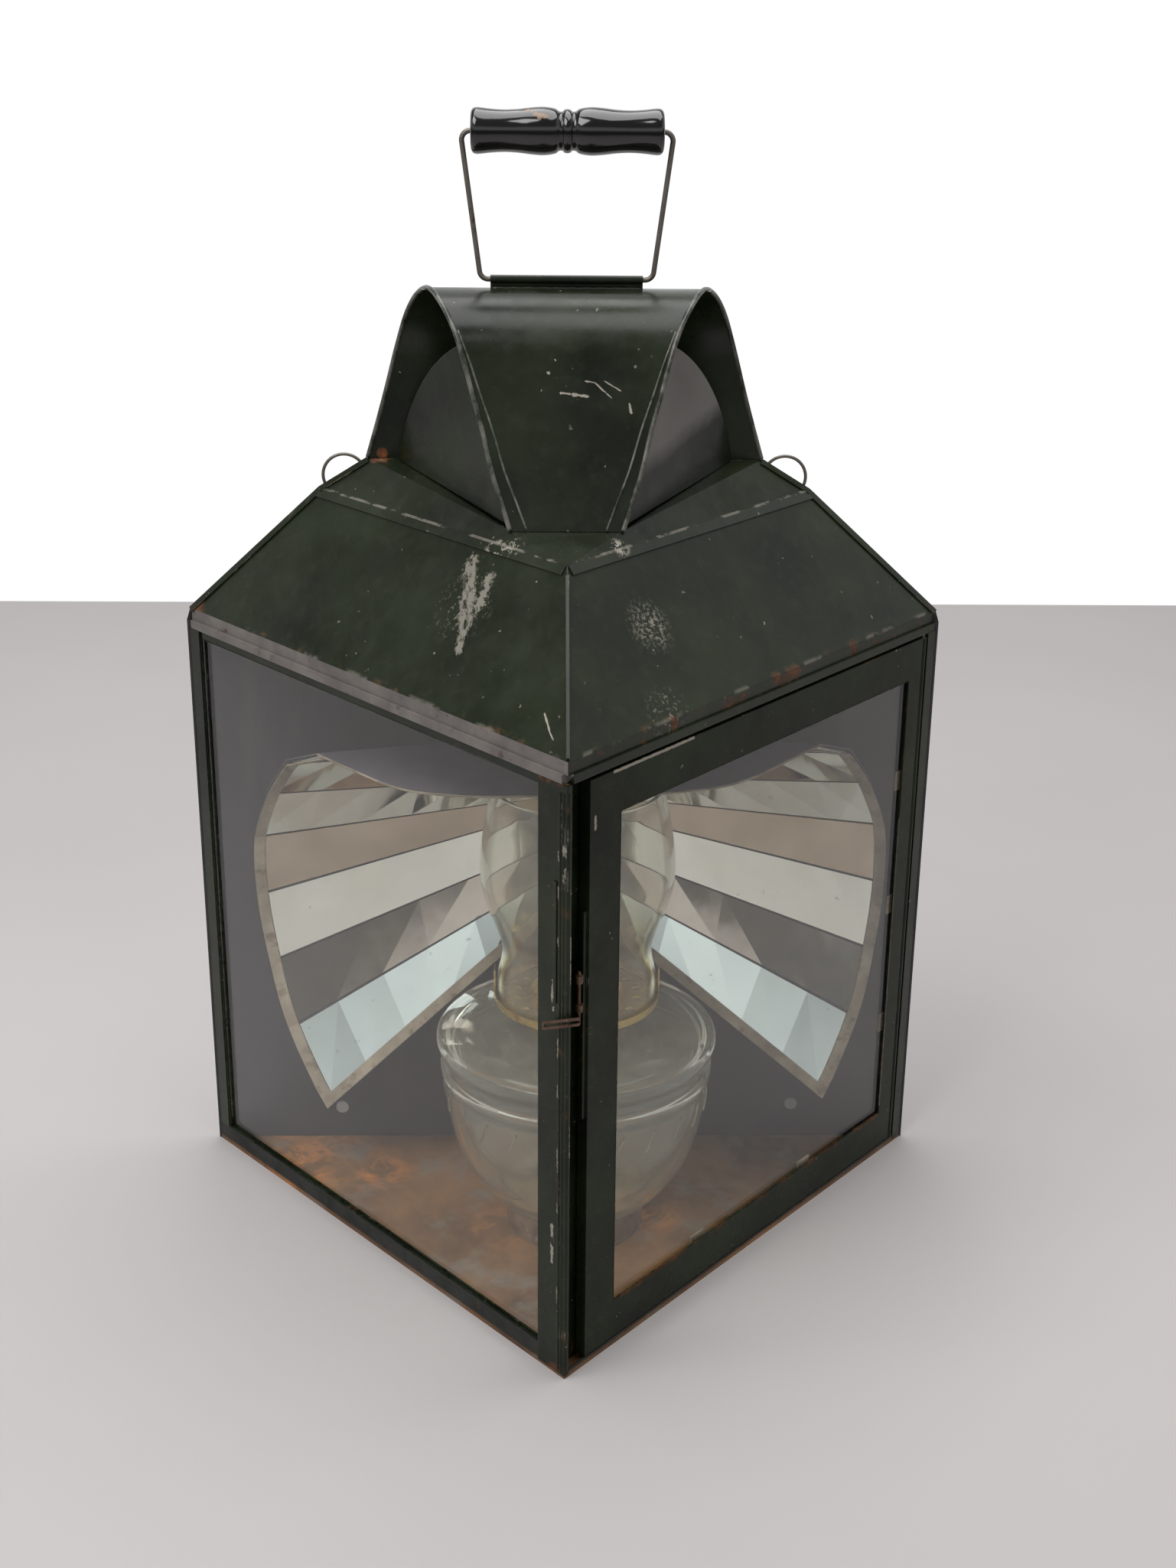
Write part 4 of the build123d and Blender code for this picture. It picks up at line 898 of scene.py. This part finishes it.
def turned_grip():
    """The wooden grip, bored through for the bail's wire."""
    line = [(r, -x) for x, r in reversed(GRIP_OUTLINE)] + [(r, x) for x, r in GRIP_OUTLINE[1:]]
    bore = [(GRIP_BORE, GRIP_HALF), (GRIP_BORE, -GRIP_HALF)]
    return lathe(outline_3d(line, 5) + bore, (0, BAIL_Y, GRIP_Z), axis="X", segments=GRIP_SEGMENTS)


# Half width and height, in mm, round the flat back's hem
BACK_HEM = ((188.6, 1.6), (188.6, 301.0), (187.0, 306.4), (120.2, 368.2), (96.0, 382.6))
BACK_HEM_R = 0.8 * MM


def back_hem():
    """The hemmed edge round the flat back."""
    line = [Vector((x * MM, BACK_Y + 0.1 * MM, z * MM)) for x, z in BACK_HEM]
    line += [Vector((-p.x, p.y, p.z)) for p in reversed(line)]
    return tube(line + [line[0]], BACK_HEM_R, 8)


RIVET_R, RIVET_RISE, RIVET_SUNK = 2.3 * MM, 1.1 * MM, 0.02 * MM
RIVET_RINGS, RIVET_SIDES = 5, 16


def rivet_head(centre, outward):
    """A domed rivet head, closed underneath."""
    outward = Vector(outward).normalized()
    side = outward.orthogonal().normalized()
    other = outward.cross(side)
    vertices, faces = [], []
    for i in range(RIVET_RINGS):
        lean = math.pi / 2 * i / RIVET_RINGS
        for k in range(RIVET_SIDES):
            turn = 2 * math.pi * k / RIVET_SIDES
            flat = (side * math.cos(turn) + other * math.sin(turn)) * RIVET_R * math.cos(lean)
            vertices.append(Vector(centre) + flat + outward * RIVET_RISE * math.sin(lean))
    vertices.append(Vector(centre) + outward * RIVET_RISE)
    for i in range(RIVET_RINGS - 1):
        for k in range(RIVET_SIDES):
            a, b = i * RIVET_SIDES + k, i * RIVET_SIDES + (k + 1) % RIVET_SIDES
            faces.append((a, b, b + RIVET_SIDES, a + RIVET_SIDES))
    top, peak = (RIVET_RINGS - 1) * RIVET_SIDES, len(vertices) - 1
    faces += [(top + k, top + (k + 1) % RIVET_SIDES, peak) for k in range(RIVET_SIDES)]
    faces.append(tuple(reversed(range(RIVET_SIDES))))
    return vertices, faces


def back_rivets():
    """Heads of the rivets that hold the reflector's bracket, and of the four along the back's foot."""
    spots = [(REFLECTOR_X + dx, z) for dx in (-8, 8) for z in (180, 192)]
    spots += [(x, 8.0) for x in (-170, -60, 60, 170)]
    return joined([rivet_head((x * MM, BACK_Y - RIVET_SUNK, z * MM), (0, 1, 0)) for x, z in spots])


SOLDER_HALF, SOLDER_Z, SOLDER_R, SOLDER_STEPS = 34.5, 471.9, 0.95 * MM, 28


def handle_solder():
    """Runs of solder, slightly wavy, along both sides of the handle tube's foot."""
    parts = []
    for y in (-1.5, 1.5):
        line = []
        for k in range(SOLDER_STEPS + 1):
            x = -SOLDER_HALF + 2 * SOLDER_HALF * k / SOLDER_STEPS
            height = SOLDER_Z + 0.12 * math.sin(2.3 * k + y)
            line.append(Vector((x * MM, BAIL_Y + y * MM, height * MM)))
        parts.append(tube(line, SOLDER_R, 8))
    return joined(parts)


OPENING_BEAD_R = 0.42 * MM


def opening_bead(side, opening, heights, depth):
    """The rolled inner edge of an opening in a side, at a depth inside that side's face."""
    (near, far), (low, high) = opening, heights
    corners = [side_point(side, s, depth, z) for s, z in ((near, low), (far, low), (far, high), (near, high))]
    return tube(corners + corners[:1], OPENING_BEAD_R, 8)


rims, creases = hood_rims()
door_bead = opening_bead("right", DOOR_OPENING, DOOR_OPENING_Z, 0.25 * MM)
pane_bead = opening_bead("left", LEFT_OPENING, LEFT_OPENING_Z, 1.15 * MM)
add_piece("door_bead", *door_bead, DOOR, "door", "green_paint")
add_piece("pane_bead", *pane_bead, PAINT, "lantern", "green_paint")
add_piece("back_hem", *back_hem(), BACK, "lantern", "green_paint")
add_piece("back_rivets", *back_rivets(), BACK, "lantern", "green_paint")
add_piece("handle_solder", *handle_solder(), HOOD, "lantern", "green_paint")
# The hood's rims and creases are painted grey partly as highlight along the beads
add_piece("hood_rims", *rims, HIGHLIT_EDGE, "lantern", "green_paint")
add_piece("hood_creases", *creases, HIGHLIT_EDGE, "lantern", "green_paint")
add_piece("visor_bead", *visor_edge(), RIM_TIN, "lantern", "reflector_tin")
add_piece("font_pressed", *font_glass(), FONT, "lamp", "lamp_glass", ["font"])
add_piece("font_cuts", *font_cuts(), FONT, "lamp", "lamp_glass")
add_piece("chimney_blown", *chimney_glass(), CHIMNEY, "chimney", "lamp_glass", ["chimney"])
add_piece("grip_turned", *turned_grip(), WOOD, "grip", "grip_wood", ["grip"])


# Stage -------------------------------------------------------------------------------------------

CAMERA_PLACE = (-0.00936, -0.9450, 0.6247)
CAMERA_LENS, CAMERA_SENSOR = 48.64, 36.0
CAMERA_YAW, CAMERA_PITCH, CAMERA_ROLL = (math.radians(angle) for angle in (1.2461, 21.939, -0.5796))


def make_floor():
    """A pale cloth, wide of the frame, that ends behind the lantern."""
    mesh = bpy.data.meshes.new("floor")
    near, far, half = -2.2, 1.09, 3.0
    mesh.from_pydata([(-half, near, 0), (half, near, 0), (half, far, 0), (-half, far, 0)], [], [(0, 1, 2, 3)])
    floor = bpy.data.objects.new("floor", mesh)
    bpy.context.collection.objects.link(floor)
    s = Shader("pale_cloth")
    shade = s.span(s.noise(3, 3, 0.5), 0.3, 0.7)
    s.set(Base_Color=s.mix(shade, (0.462, 0.437, 0.432), (0.488, 0.463, 0.457)), Roughness=0.9)
    mesh.materials.append(s.material)


def make_light(name, place, target, size, power):
    """A soft rectangular light that faces a target."""
    data = bpy.data.lights.new(name, "AREA")
    data.shape = "RECTANGLE"
    data.size, data.size_y = size
    data.energy = power
    lamp = bpy.data.objects.new(name, data)
    lamp.location = place
    lamp.rotation_euler = (Vector(target) - Vector(place)).to_track_quat("-Z", "Y").to_euler()
    bpy.context.collection.objects.link(lamp)


def make_world():
    """A white backdrop behind the lantern, a dim room in front of it and a paler wall on the right."""
    world = bpy.data.worlds.new("studio")
    bpy.context.scene.world = world
    world.use_nodes = True
    tree = world.node_tree
    background = tree.nodes["Background"]
    background.inputs["Color"].default_value = (1.0, 1.0, 1.0, 1.0)
    direction = tree.nodes.new("ShaderNodeTexCoord")
    parts = tree.nodes.new("ShaderNodeSeparateXYZ")
    tree.links.new(direction.outputs["Generated"], parts.inputs[0])

    def ramp(axis, low, high, to_low, to_high):
        node = tree.nodes.new("ShaderNodeMapRange")
        for socket, value in zip(node.inputs[1:5], (low, high, to_low, to_high)):
            socket.default_value = value
        tree.links.new(parts.outputs[axis], node.inputs[0])
        return node.outputs[0]

    def combine(operation, a, b):
        node = tree.nodes.new("ShaderNodeMath")
        node.operation = operation
        tree.links.new(a, node.inputs[0])
        tree.links.new(b, node.inputs[1])
        return node.outputs[0]

    backdrop = ramp("Y", 0.58, 0.86, 0.0, 1.02)
    room = combine("MULTIPLY", ramp("Z", 0.06, 0.20, 0.08, 0.78), ramp("Z", 0.32, 0.48, 1.0, 0.22))
    right_wall = combine("MULTIPLY", ramp("X", 0.50, 0.78, 0.0, 0.55), ramp("Z", 0.20, 0.45, 0.0, 1.0))
    brightness = combine("MAXIMUM", backdrop, combine("MAXIMUM", right_wall, room))
    tree.links.new(brightness, background.inputs["Strength"])


def make_camera():
    """In front of the lantern's front corner and a little above its top, looking down."""
    level = Vector((math.sin(CAMERA_YAW), math.cos(CAMERA_YAW), 0))
    forward = level * math.cos(CAMERA_PITCH) - Vector(UP) * math.sin(CAMERA_PITCH)
    right = Vector((math.cos(CAMERA_YAW), -math.sin(CAMERA_YAW), 0))
    up = right.cross(forward)
    tilted_right = right * math.cos(CAMERA_ROLL) - up * math.sin(CAMERA_ROLL)
    tilted_up = right * math.sin(CAMERA_ROLL) + up * math.cos(CAMERA_ROLL)
    data = bpy.data.cameras.new("camera")
    data.lens = CAMERA_LENS
    data.sensor_width = CAMERA_SENSOR
    data.sensor_fit = "AUTO"
    camera = bpy.data.objects.new("camera", data)
    turn = Matrix((tilted_right, tilted_up, -forward)).transposed()
    camera.matrix_world = Matrix.Translation(CAMERA_PLACE) @ turn.to_4x4()
    bpy.context.collection.objects.link(camera)
    bpy.context.scene.camera = camera


make_floor()
make_world()
make_light("key", (-0.9, -0.7, 1.9), (0, 0, 0.25), (1.4, 1.0), 24)
make_light("top", (0.2, 0.3, 2.2), (0, 0, 0.2), (2.0, 1.6), 36)
make_camera()
bpy.context.scene.view_settings.view_transform = "Standard"
